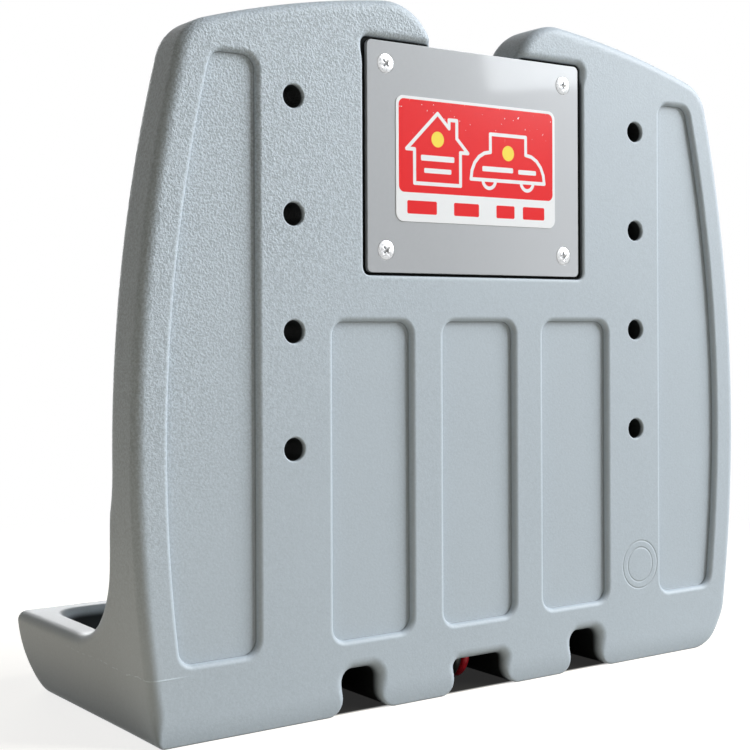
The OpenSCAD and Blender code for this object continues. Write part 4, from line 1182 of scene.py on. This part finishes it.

# %% [markdown]
# ## The shell's hollows, with painted shade
# The cord channels, the wall holes, the tray's basin and the gap round the cover are nearly black in
# the photograph. Their shade is therefore painted into the plastic by its place: a product of soft steps
# in x, depth and height is 1 inside a region and 0 outside. Each region ends in depth as well, because
# a step that is left open paints its shape on the far side of the dock too.

# %% Where shade is painted in the hollows
HOLLOW_SHADE_COLOUR = (0.012, 0.013, 0.013)
TUNNEL_HALF_X, TUNNEL_D, TUNNEL_Z = 98, (3.2, 115), (0.3, 20.5)
BORE_D, BORE_TOP_Z = (1.6, 28), 282
BASIN_HALF_X, BASIN_TOP_Z = 157, 31.5
BORE_SHARE, BASIN_SHARE = 0.97, 0.93


def hollow_shade(f):
    """Painted shade: 1 in each deep hollow, the cord channels, wall holes, tray's basin and gap round the
    cover.
    """
    across = abs(f.x)
    tunnels = f.d.over(TUNNEL_D[0], 2.6) * f.d.under(TUNNEL_D[1], 2) * across.under(TUNNEL_HALF_X, 2)
    tunnels = tunnels * f.z.under(TUNNEL_Z[1], 0.8) * f.z.over(TUNNEL_Z[0], 0.2)
    bores = f.d.over(BORE_D[0], 0.9) * f.d.under(BORE_D[1], 1)
    bores = bores * abs(across - HOLE_X).under(HOLE_R + 1, 1) * f.z.under(BORE_TOP_Z, 2)
    basin = f.d.over(UPRIGHT_T + 2, 1.5) * f.d.under(BODY_D - RIM_W + 1, 1)
    basin = basin * across.under(BASIN_HALF_X, 1.5)
    basin = basin * f.z.under(BASIN_TOP_Z, 1.5) * f.z.over(FLOOR_Z - 2, 1)
    gap = f.to_box(0, PLATE_Z, *REBATE_HALF, REBATE_R).under(0.1, 0.3)
    gap = gap * f.d.over(0.8, 0.5) * f.d.under(REBATE_D + 0.5, 0.5)
    return sum_of([tunnels, bores * BORE_SHARE, basin * BASIN_SHARE, gap]).math("MINIMUM", 1.0)


print("gap round the cover:", round(float(REBATE_HALF[0] - PLATE_HI[0]), 1), "mm at its sides")

# %% [markdown]
# ## The shell's plastic
# Moulded polyethylene copies its sandblasted mould: a pebbled grain of about a millimetre, strongest at
# the upper left and nearly gone at the lower right. It is bump and colour noise together. A thin light
# seam, broken into dashes, runs round the lower left corner where the mould's halves met. Shade is
# painted along the base and in the panels' creases, and the hollows get painted shade too.

# %% The shell's finish
COOL_TINT = (0.985, 1.0, 1.035)
GRAIN_TURN, GRAIN_SIZE, FINE_SIZE, CLOUD_SIZE = (280, 90), 1.1, 0.6, 45
PARTING_Z, CORNER_X = 28, -157
RINGS_AT, RINGS_R = (104, 48), (12, 8.6)


def housing_finish():
    """Pebbled plastic with its seam and two raised rings, and painted shade at its foot, creases and each
    hollow.
    """
    base = tinted(COLOURS["housing"], COOL_TINT)
    f = Drawn("housing_plastic", base, 0.48, specular=0.35)
    amount = (f.z - f.x).over(*GRAIN_TURN) * 0.85 + 0.15
    pebble, fine, broad = f.noise(GRAIN_SIZE, 1.0), f.noise(FINE_SIZE, 2.0), f.noise(CLOUD_SIZE, 3.0)
    grain = ((pebble - 0.5) * 0.7 + (fine - 0.5) * 0.5) * amount
    tone = f.mix((grain * 3.6 + 0.5).over(0.5, 0.5), shade(base, 0.84), shade(base, 1.16))
    tone = f.mix((broad - 0.5).over(0.0, 0.2) * 0.35, tone, shade(base, 1.05))
    dashes = f.noise(3.0, 2.0).over(0.52, 0.05).math("MAXIMUM", f.d.under(1, 1) * 0.8)
    off_seam = abs(f.z - PARTING_Z + (f.noise(14, 2.0) - 0.5) * 5.0 * f.d.over(4, 3))
    seam = off_seam.under(0.25, 0.25) * dashes * f.x.under(CORNER_X, 9) * f.d.under(60, 40)
    rings = sum_of(abs(f.to_point(*RINGS_AT) - r).under(0.35, 0.35) for r in RINGS_R) * f.d.under(1.0, 0.5)
    # Painted shade: darker along the wall side's foot, with a painted contact shadow at the very base
    foot = f.z.under(4.5, 8.0) * f.d.under(4, 3) * 0.36 + f.z.under(0.5, 0.5) * 0.3
    tone = f.mix(seam * 0.8, tone, shade(base, 1.6))
    tone = f.mix(rings * 0.35, tone, shade(base, 0.8))
    # Painted shade on the foot and in the panels' creases
    tone = f.mix(foot + f.painted("crease_shade") * 0.5, tone, shade(base, 0.25))
    # Painted shade: the hollows turn nearly black and lose most of their specular
    dark = hollow_shade(f)
    f.link("Base Color", f.mix(dark, tone, HOLLOW_SHADE_COLOUR))
    f.link("Specular IOR Level", dark * -0.33 + 0.35)
    f.bump(grain * 0.42 + seam * 0.12 - rings * 0.2)
    return f.material


HOUSING = housing_finish()
print("housing:", len(HOUSING.node_tree.nodes), "nodes")

# %% [markdown]
# ## Finishes for the frame's own pieces
# Pieces whose shape is right stay as they are and get a finish. Each finish is one short recipe: a
# moulded plastic with grain, a plated metal with faint brushing, windings as fine stripes. Many pieces
# share a recipe and differ only in their colour and grain.

# %% Recipes that several parts share


def moulded(name, colour, roughness=0.45, grain=0.4, height=0.012):
    """Plastic with fine grain: one noise moves both the colour and, by height millimetres, the surface."""
    f = Finish(name, colour, roughness, specular=0.4)
    speck = f.noise(grain)
    f.colour(speck.over(0.5, 0.3), shade(colour, 0.88), shade(colour, 1.1))
    f.bump(speck * height)
    return f.material


def plated(name, colour, roughness=0.25, streak=(1, 6, 1)):
    """Metal with faint brushing: noise stretched along one axis moves colour, gloss and surface."""
    f = Finish(name, colour, roughness, metallic=1.0)
    streaks = f.noise(0.5, 3.0, streak)
    f.colour(streaks.over(0.5, 0.3), shade(colour, 0.85), shade(colour, 1.08))
    f.link("Roughness", streaks * 0.2 + (roughness - 0.1))
    f.bump(streaks * 0.01)
    return f.material


def striped(name, colour, pitch, along="z", depth=0.6, metallic=0.0, roughness=0.35):
    """Fine parallel stripes, as laminations or wound wire: darker in each groove."""
    f = Finish(name, colour, roughness, metallic=metallic)
    wave = (getattr(f, along) * (2 * math.pi / pitch)).math("SINE")
    speck = f.noise(1.2)
    f.colour(wave.over(0.0, 0.9) * (speck * 0.3 + 0.7), shade(colour, 1 - depth), colour)
    f.bump(wave * 0.05)
    return f.material


print("shared recipes:", [recipe.__name__ for recipe in (moulded, plated, striped)])

# %% [markdown]
# ## Finishes for one part each
# The fuse, the circuit board and the capacitor each need one thing of their own: clear glass, copper
# tracks under green varnish, and a printed sleeve. Nothing is written on them.

# %% Fuse, board and capacitor


def glass():
    """A thin glass tube at its simplest: a smooth, glossy tint with hardly any cloudiness."""
    f = Finish("fuse_glass", COLOURS["fuse"], 0.08, specular=0.6, coat=0.3)
    f.colour(f.noise(2.0).over(0.5, 0.3), shade(COLOURS["fuse"], 0.95), COLOURS["fuse"])
    return f.material


def circuit_board():
    """Green solder mask over tracks: thin lines where a coarse and a fine noise cross a level."""
    f = Finish("circuit_board", COLOURS["board"], 0.3, coat=0.3)
    lanes = abs(f.noise(6.0, 0.0, (1, 3, 1)) - 0.5).under(0.035, 0.01)
    f.colour(lanes, COLOURS["board"], shade(COLOURS["board"], 1.9))
    f.bump(lanes * 0.03)
    return f.material


def sleeve():
    """A capacitor's printed sleeve: dark film with one plain pale stripe down its side."""
    f = Finish("capacitor_sleeve", COLOURS["capacitor"], 0.25, coat=0.2)
    stripe = abs(f.noise(9.0, 0.0) - 0.5).under(0.03, 0.01)
    f.colour(stripe, COLOURS["capacitor"], (0.35, 0.38, 0.45))
    return f.material


FUSE, BOARD, SLEEVE = glass(), circuit_board(), sleeve()
print("made:", [m.name for m in (FUSE, BOARD, SLEEVE)])

# %% [markdown]
# ## The cover's paint and its screws' plating
# The cover shows two things at once: a sharp reflection of the softbox and a soft haze round it. That
# is smooth paint under a clear coat, with a painted highlight that lightens the paint towards the right.
# The screws are zinc plated, with painted shade that darkens them a little in the cross.

# %% Paint and plating
CROSS_SHADE_D, CROSS_SHADE_SOFT = PLATE_LO[1] - 0.12, 0.3


def cover_paint():
    """Smooth paint under clear lacquer: the lacquer mirrors the softbox, the paint adds a haze round it."""
    base = tinted(COLOURS["cover"], (0.84, 0.855, 0.885))
    f = Finish("cover_paint", base, 0.3, specular=0.3, coat=0.42)
    speck = f.noise(1.6, 2.0)
    tone = f.mix(speck.over(0.5, 0.4), shade(base, 0.985), shade(base, 1.015))
    # Painted highlight: the paint's colour lightens towards the right, under the softbox
    f.link("Base Color", f.mix(f.x.over(15, 60), tone, shade(base, 1.22)))
    f.set("Coat Roughness", 0.05)
    f.link("Roughness", speck * 0.08 + 0.26)
    f.bump(speck * 0.0008)
    return f.material


def zinc_heads():
    """Plated screw heads, with painted shade inside the cross."""
    colour = shade(COLOURS["zinc_screw"], 0.82)
    f = Finish("zinc_plate", colour, 0.3, metallic=1.0)
    mottle = f.noise(0.9, 2.0)
    tone = f.mix(mottle.over(0.5, 0.2), shade(colour, 0.8), shade(colour, 1.15))
    # Painted shade: below the head's face, in the cross, the colour darkens
    f.link("Base Color", f.mix(f.d.over(CROSS_SHADE_D, CROSS_SHADE_SOFT), tone, shade(colour, 0.75)))
    f.link("Roughness", mottle * 0.2 + 0.2)
    f.bump(mottle * 0.06)
    return f.material


COVER, ZINC = cover_paint(), zinc_heads()
print("made:", [m.name for m in (COVER, ZINC)])

# %% [markdown]
# ## The sticker
# A printed film, red in a white border, with two plain outlines, two discs and a row of blocks. It is
# drawn with distances instead of a picture, so its edges stay sharp from any distance. All places are
# in millimetres on the object. Plain bars stand where words would be.

# %% Draw the sticker
HOUSE_X, HOUSE_HALF, EAVE_HALF = -24.0, 13.2, 17.6
HOUSE_Z = dict(foot=233.7, eave=249.0, top=266.0, stack=263.6)
CAR_X, CAR_Z = 18.0, dict(sill=237.4, bonnet=250.5, roof=259.0)
CAR_ROOF_HALF, CAR_HALF, WHEEL_R, WHEEL_X = 10.9, 22.6, 3.8, 11.7
STROKE = 0.85
RED, WHITE, YELLOW = (0.82, 0.022, 0.026), (0.87, 0.88, 0.90), (0.95, 0.74, 0.10)
FIELD = (0, 250.4, 46.0, 21.0, 3.0)
BARS = [(-24.0, 245.4, 9.6, 1.3), (-24.0, 239.7, 7.8, 1.1), (11.6, 242.6, 9.4, 1.2), (29.8, 242.2, 5.6, 1.1)]
BLOCKS_Z, BLOCKS = 222.8, [(-33.0, 8.4), (-7.3, 7.4), (16.2, 5.6), (33.8, 6.8)]
DISC_R, DISCS = 3.6, [(HOUSE_X, 254.2), (CAR_X, 250.6)]


def house_line():
    """Outline of a house with a chimney, as one closed line on the sticker."""
    x, z = HOUSE_X, HOUSE_Z
    right = [(x + 6.6, 259.7), (x + 6.6, z["stack"]), (x + 11.1, z["stack"]), (x + 11.1, 255.3)]
    eaves = [(x + EAVE_HALF, z["eave"]), (x + HOUSE_HALF, z["eave"]), (x + HOUSE_HALF, z["foot"])]
    left = [(x - HOUSE_HALF, z["foot"]), (x - HOUSE_HALF, z["eave"]), (x - EAVE_HALF, z["eave"])]
    return [(x, z["top"])] + right + eaves + left + [(x, z["top"])]


def car_line():
    """Outline of a car seen from its side: a straight cabin over two quarter-round ends."""
    turn = np.radians(np.linspace(90, 0, 6))
    end_x = CAR_ROOF_HALF + (CAR_HALF - CAR_ROOF_HALF) * np.cos(turn)
    end_z = CAR_Z["sill"] + (CAR_Z["bonnet"] - CAR_Z["sill"]) * np.sin(turn)
    half = [(CAR_ROOF_HALF, CAR_Z["roof"])] + list(zip(end_x.tolist(), end_z.tolist()))
    right = [(CAR_X + x, z) for x, z in half]
    left = [(CAR_X - x, z) for x, z in half[::-1]]
    return right + left + right[:1]


def sticker():
    """Printed film: a red field in a white border, two plain outlines, and bars where words would be.

    The wheels are circles of which only the lower halves are drawn: above the sill their distance grows."""
    f = Drawn("sticker_film", RED, 0.2, specular=0.22)
    field = f.to_box(*FIELD).under(0, 0.12)
    line = f.to_line(house_line()).math("MINIMUM", f.to_line(car_line()))
    for side in (-1, 1):
        wheel = abs(f.to_point(CAR_X + side * WHEEL_X, CAR_Z["sill"]) - WHEEL_R)
        line = line.math("MINIMUM", wheel + f.z.over(CAR_Z["sill"] - 0.2, 0.1) * 9.0)
    ink = line.under(STROKE, 0.12)
    bars = sum_of(f.to_box(*bar, 0.6).under(0, 0.12) for bar in BARS)
    blocks = sum_of(f.to_box(x, BLOCKS_Z, half, 3.0, 0.8).under(0, 0.15) for x, half in BLOCKS)
    discs = sum_of(f.to_point(*at).under(DISC_R, 0.15) for at in DISCS)
    worn = f.noise(1.7, 1.0).over(0.74, 0.02) * f.z.over(262, 8)
    print_red = field * (-(ink + bars + worn).math("MINIMUM", 1.0) + 1.0) + blocks
    tone = f.mix(print_red.math("MINIMUM", 1.0), WHITE, RED)
    f.link("Base Color", f.mix(discs, tone, YELLOW))
    f.bump(f.noise(6.0, 1.0) * 0.01)
    return f.material


STICKER = sticker()
print("sticker:", len(STICKER.node_tree.nodes), "nodes,", len(house_line()) + len(car_line()) - 2, "strokes")

# %% [markdown]
# ## Every finish in its place
# The record of the frame says which finish each node wears, by the name of its slot. One list of
# finishes by slot is then enough to dress them all, and the new pieces take theirs from it too.

# %% Dress the nodes
FINISHES = {
    "housing": HOUSING,
    "brass_insert": striped("brass_knurl", COLOURS["brass_insert"], 0.6, "d", 0.4, metallic=1.0),
    "zinc_screw": ZINC,
    "grommet": moulded("grommet_rubber", COLOURS["grommet"], 0.7),
    "board": BOARD,
    "core": striped("core_laminations", COLOURS["core"], 0.5, "x", 0.5, metallic=0.6, roughness=0.4),
    "winding": striped("winding_tape", COLOURS["winding"], 3.0, "z", 0.25),
    "capacitor": SLEEVE,
    "choke": striped("choke_wire", COLOURS["choke"], 0.9, "x", 0.7),
    "package": moulded("package_epoxy", COLOURS["package"], 0.5, 0.2),
    "heat_sink": plated("sink_aluminium", COLOURS["heat_sink"], 0.35, (1, 1, 8)),
    "fuse": FUSE,
    "clip": plated("clip_tin", COLOURS["clip"], 0.3),
    "terminal": moulded("terminal_plastic", COLOURS["terminal"], 0.4),
    "lead_red": moulded("lead_red_skin", COLOURS["lead_red"], 0.35, 1.5, 0.02),
    "lead_black": moulded("lead_black_skin", COLOURS["lead_black"], 0.35, 1.5, 0.02),
    "contact_block": moulded("block_plastic", COLOURS["contact_block"], 0.5, 0.3, 0.02),
    "contact": plated("contact_brass", COLOURS["contact"], 0.25, (1, 1, 1)),
    "lug": plated("lug_tin", COLOURS["lug"], 0.3),
    "cover": COVER,
    "label": STICKER,
}
for part in frame["record"]["subparts"]:
    mesh = NODES[part["node"]].data
    mesh.materials.clear()
    mesh.materials.append(FINISHES[part["material_slot"]])
print("finishes:", len(FINISHES))

# %% [markdown]
# ## The shell as an object
# The shell's patches were all made in one list of points. They become one mesh only now, once its
# finish exists, and it takes the place of the frame's plainer housing.

# %% Put the shell in its place
make_piece(SHELL, "moulded_shell", "dock_body", FINISHES["housing"])

# %% [markdown]
# ## The cover
# A sheet of 2 mm, painted smooth. Its edge is one small profile carried round a rounded rectangle, and
# each screw hole is a cone carried round a circle. Flat fills close the face and the back. A real edge
# radius of a third of a millimetre is what catches the light, so it is made and not left sharp.

# %% Make the cover
COVER_EDGE_R, COVER_CORNER_R = 0.3, 2.5
HEAD_R, HEAD_GAP, SHANK_R = 4.4, 0.2, 1.9


def cover_edge(face, back, r, steps=3):
    """The edge of the sheet: a quarter circle of radius r at the face and one at the back."""
    turn = np.linspace(0, math.pi / 2, steps + 1)
    sin, cos = np.sin(turn), np.cos(turn)
    front = np.stack([r * sin - r, face + r - r * cos, sin, -cos], 1)
    rear = np.stack([r * cos - r, back - r + r * sin, cos, sin], 1)
    return np.vstack([front, rear])


def countersink(face, back, lip=0.1):
    """A cone at 45 degrees from the face to the back, with both of its edges broken by a small lip."""
    lean, inner = math.sqrt(0.5), face - back + lip
    return [(lip, face, 0, -1), (-lip, face + lip, -lean, -lean), (inner, back - lip, -lean, -lean),
            (inner, back - lip / 2, -1, 0), (inner + lip, back, 0, 1)]


def make_cover():
    """The sheet: its edge round the outline, a countersink at each screw, and both faces filled."""
    skin = Skin()
    face, back = PLATE_LO[1], PLATE_HI[1]
    path = rounded_rectangle(0, PLATE_Z, PLATE_HI[0], (PLATE_HI[2] - PLATE_LO[2]) / 2, COVER_CORNER_R)
    rows = carry(skin, path, cover_edge(face, back, COVER_EDGE_R))
    skin.strip(rows[:, ::-1])
    face_edges, back_edges = [skin.loop(rows[0])], [skin.loop(rows[-1])]
    for x in (-SCREW_X, SCREW_X):
        for z in (-SCREW_Z, SCREW_Z):
            rows = carry(skin, circle(x, PLATE_Z + z, HEAD_R + HEAD_GAP), countersink(face, back))
            skin.strip(rows)
            face_edges.append(skin.loop(rows[0]))
            back_edges.append(skin.loop(rows[-1]))
    skin.fill(np.vstack(face_edges), 1, -1)
    skin.fill(np.vstack(back_edges), 1, 1)
    make_piece(skin, "painted_cover", "cover_plate", FINISHES["cover"])


make_cover()

# %% [markdown]
# ## The cover's screws
# Raised countersunk screws with a cross recess. Head, cone and thread are rings of points about one
# axis. The recess is pressed into the dome as a depth at each point: full in the middle, rising to
# nothing along four wings. The thread is a wave along the shank that turns with the angle, a helix.

# %% Make the screws
DOME_RISE, RIM_DROP = 0.7, 0.15
RECESS_DEPTH, WING_HALF, WING_SOFT, WING_REACH = 1.6, 0.5, 0.12, 2.5
THREAD_PITCH, THREAD_DEPTH = 0.7, 0.12
SCREW_TURNS = {(-1, 1): 45, (-1, -1): 40, (1, 1): 3, (1, -1): 12}
SHEET_T = PLATE_HI[1] - PLATE_LO[1]
# A screw's own rings as (radius, depth below the rim's level)
HEAD_RIM = [
    (HEAD_R - 0.05, -0.04),
    (HEAD_R, RIM_DROP),
    (HEAD_R - 0.06, RIM_DROP + 0.1),
    (SHANK_R, SHEET_T - 0.1),
]
THREAD_SPAN = (2.0, 9.8)
SCREW_TIP = [(SHANK_R - 0.15, 9.85), (SHANK_R - 0.5, 10.0), (0.12, 10.0)]


def recess(u, v):
    """Depth of the cross at a point of the head: wings along both axes that rise towards their ends."""
    near, far = np.minimum(np.abs(u), np.abs(v)), np.maximum(np.abs(u), np.abs(v))
    across = 1 - smooth(near, WING_HALF - WING_SOFT, WING_HALF + WING_SOFT)
    return RECESS_DEPTH * across * (1 - smooth(far, WING_HALF, WING_REACH))


def screw_rings(around=96, over_head=32, per_turn=8):
    """Rings of a screw as (radius, depth below the rim's level), angle by angle, for an unturned screw.

    The dome falls with the square of the radius. The thread's depth is half a cosine of the turns
    made on the way down, less the angle, which makes it a helix."""
    angle = np.linspace(0, 2 * math.pi, around, endpoint=False)
    radius = np.linspace(0.12, HEAD_R - 0.15, over_head)[:, None]
    dome = -DOME_RISE + (DOME_RISE - 0.1) * (radius / radius[-1]) ** 2
    head = dome + recess(radius * np.cos(angle), radius * np.sin(angle))
    down = np.arange(*THREAD_SPAN, THREAD_PITCH / per_turn)[:, None]
    thread = SHANK_R - THREAD_DEPTH * (0.5 + 0.5 * np.cos(2 * math.pi * down / THREAD_PITCH - angle))
    flat = np.ones_like(angle)
    r = np.vstack([radius * flat, [a * flat for a, _ in HEAD_RIM], thread, [a * flat for a, _ in SCREW_TIP]])
    w = np.vstack([head, [b * flat for _, b in HEAD_RIM], down * flat, [b * flat for _, b in SCREW_TIP]])
    return angle, r, w


def make_screws():
    """Four screws at the cover's corners, each turned by its own angle, their ends closed."""
    skin = Skin()
    angle, r, w = screw_rings()
    for (sx, sz), turn in SCREW_TURNS.items():
        a = angle + math.radians(turn)
        x, z = sx * SCREW_X + r * np.cos(a), PLATE_Z + sz * SCREW_Z + r * np.sin(a)
        p = np.stack([x, PLATE_LO[1] + w, z], -1)
        rows = skin.add(p, np.zeros_like(p)).reshape(r.shape)
        skin.strip(rows[:, ::-1])
        skin.cap(rows[0], (0, -1, 0))
        skin.cap(rows[-1], (0, 1, 0))
    skin.smooth_normals()
    make_piece(skin, "cross_screws", "cover_screws", FINISHES["zinc_screw"])


make_screws()

# %% [markdown]
# ## The leads
# Each lead is a tube swept along a smooth curve through the points of its route: down the duct, round
# the bend into the middle channel and up to its lug. The rings stand square to the curve, and their
# first direction always lies as near as possible to the x axis, so the tube doesn't twist.

# %% Make the leads
LEAD_R, LEAD_SIDES, LEAD_STEPS = 2.0, 24, 8
BEND_TOP_Z, DROP_POINTS, LUG_T = 30, 6, 1
# Points of the bend as (forwards, up) from its foot, and of the climb as (back from the lead's end,
# share of the way out to its contact, share of the way up to its lug)
BEND = [(0, 13), (0.5, 8), (2.5, 4), (6, 1), (11, 0), (19, 0)]
CLIMB = [(24, 0.125, 0.055), (16, 0.5, 0.333), (9, 0.875, 0.778), (4, 1, 1), (0, 1, 1)]


def lead_route():
    """Points of the right-hand lead, in millimetres, taken from its box and its lug's place."""
    lo, hi = node_box("lead_positive")
    pole_x, contact_x = lo[0] + LEAD_R, hi[0] - LEAD_R
    duct_d, low_z = lo[1] + LEAD_R, lo[2] + LEAD_R
    rise = node_box("ring_lugs")[1][2] - LUG_T - low_z
    drop = [(pole_x, duct_d, z) for z in np.linspace(hi[2], BEND_TOP_Z, DROP_POINTS)]
    bend = [(pole_x, duct_d + a, low_z + b) for a, b in BEND]
    climb = [(pole_x + (contact_x - pole_x) * b, hi[1] - a, low_z + rise * c) for a, b, c in CLIMB]
    return np.array(drop + bend + climb)


def smooth_curve(points, steps):
    """A Catmull-Rom curve: a cubic whose slope at each point is half the gap of its neighbours."""
    ends = np.vstack([2 * points[0] - points[1], points, 2 * points[-1] - points[-2]])
    t = np.linspace(0, 1, steps, endpoint=False)[:, None]
    a, b, c, d = (ends[k:len(ends) - 3 + k, None] for k in range(4))
    curve = 0.5 * (2 * b + (c - a) * t + (2 * a - 5 * b + 4 * c - d) * t**2 + (3 * b - a - 3 * c + d) * t**3)
    return np.vstack([curve.reshape(-1, 3), points[-1]])


def make_lead(name, slot, node, side, round_r=0.2):
    """A round tube along the route, its ends drawn in by round_r and closed: centre + r * (cos, sin)."""
    curve = smooth_curve(lead_route(), LEAD_STEPS) * [side, 1, 1]
    along = np.gradient(curve, axis=0)
    along /= np.linalg.norm(along, axis=1, keepdims=True)
    up = np.cross([1.0, 0, 0], along)
    up /= np.linalg.norm(up, axis=1, keepdims=True)
    out = np.cross(along, up)
    a = np.linspace(0, 2 * math.pi, LEAD_SIDES, endpoint=False)[:, None]
    ring = np.cos(a) * out[:, None] + np.sin(a) * up[:, None]
    skin = Skin()
    flat = np.ones((LEAD_SIDES, 1))
    ends = [skin.add(curve[k] + (LEAD_R - round_r) * ring[k], sign * along[k] * flat)
            for k, sign in ((0, -1), (-1, 1))]
    body = skin.add(curve[:, None] + LEAD_R * ring, ring).reshape(len(curve), LEAD_SIDES)
    skin.strip(np.vstack([ends[0], body, ends[1]])[:, ::-1])
    skin.cap(ends[0], -along[0])
    skin.cap(ends[1], along[-1])
    make_piece(skin, name, node, FINISHES[slot])
    print(f"{name}: {np.linalg.norm(np.diff(curve, axis=0), axis=1).sum():.0f} mm long")


make_lead("red_lead", "lead_red", "lead_positive", 1)
make_lead("black_lead", "lead_black", "lead_negative", -1)

# %% [markdown]
# ## Sizes
# Each new surface lies within the solid that it stands for.
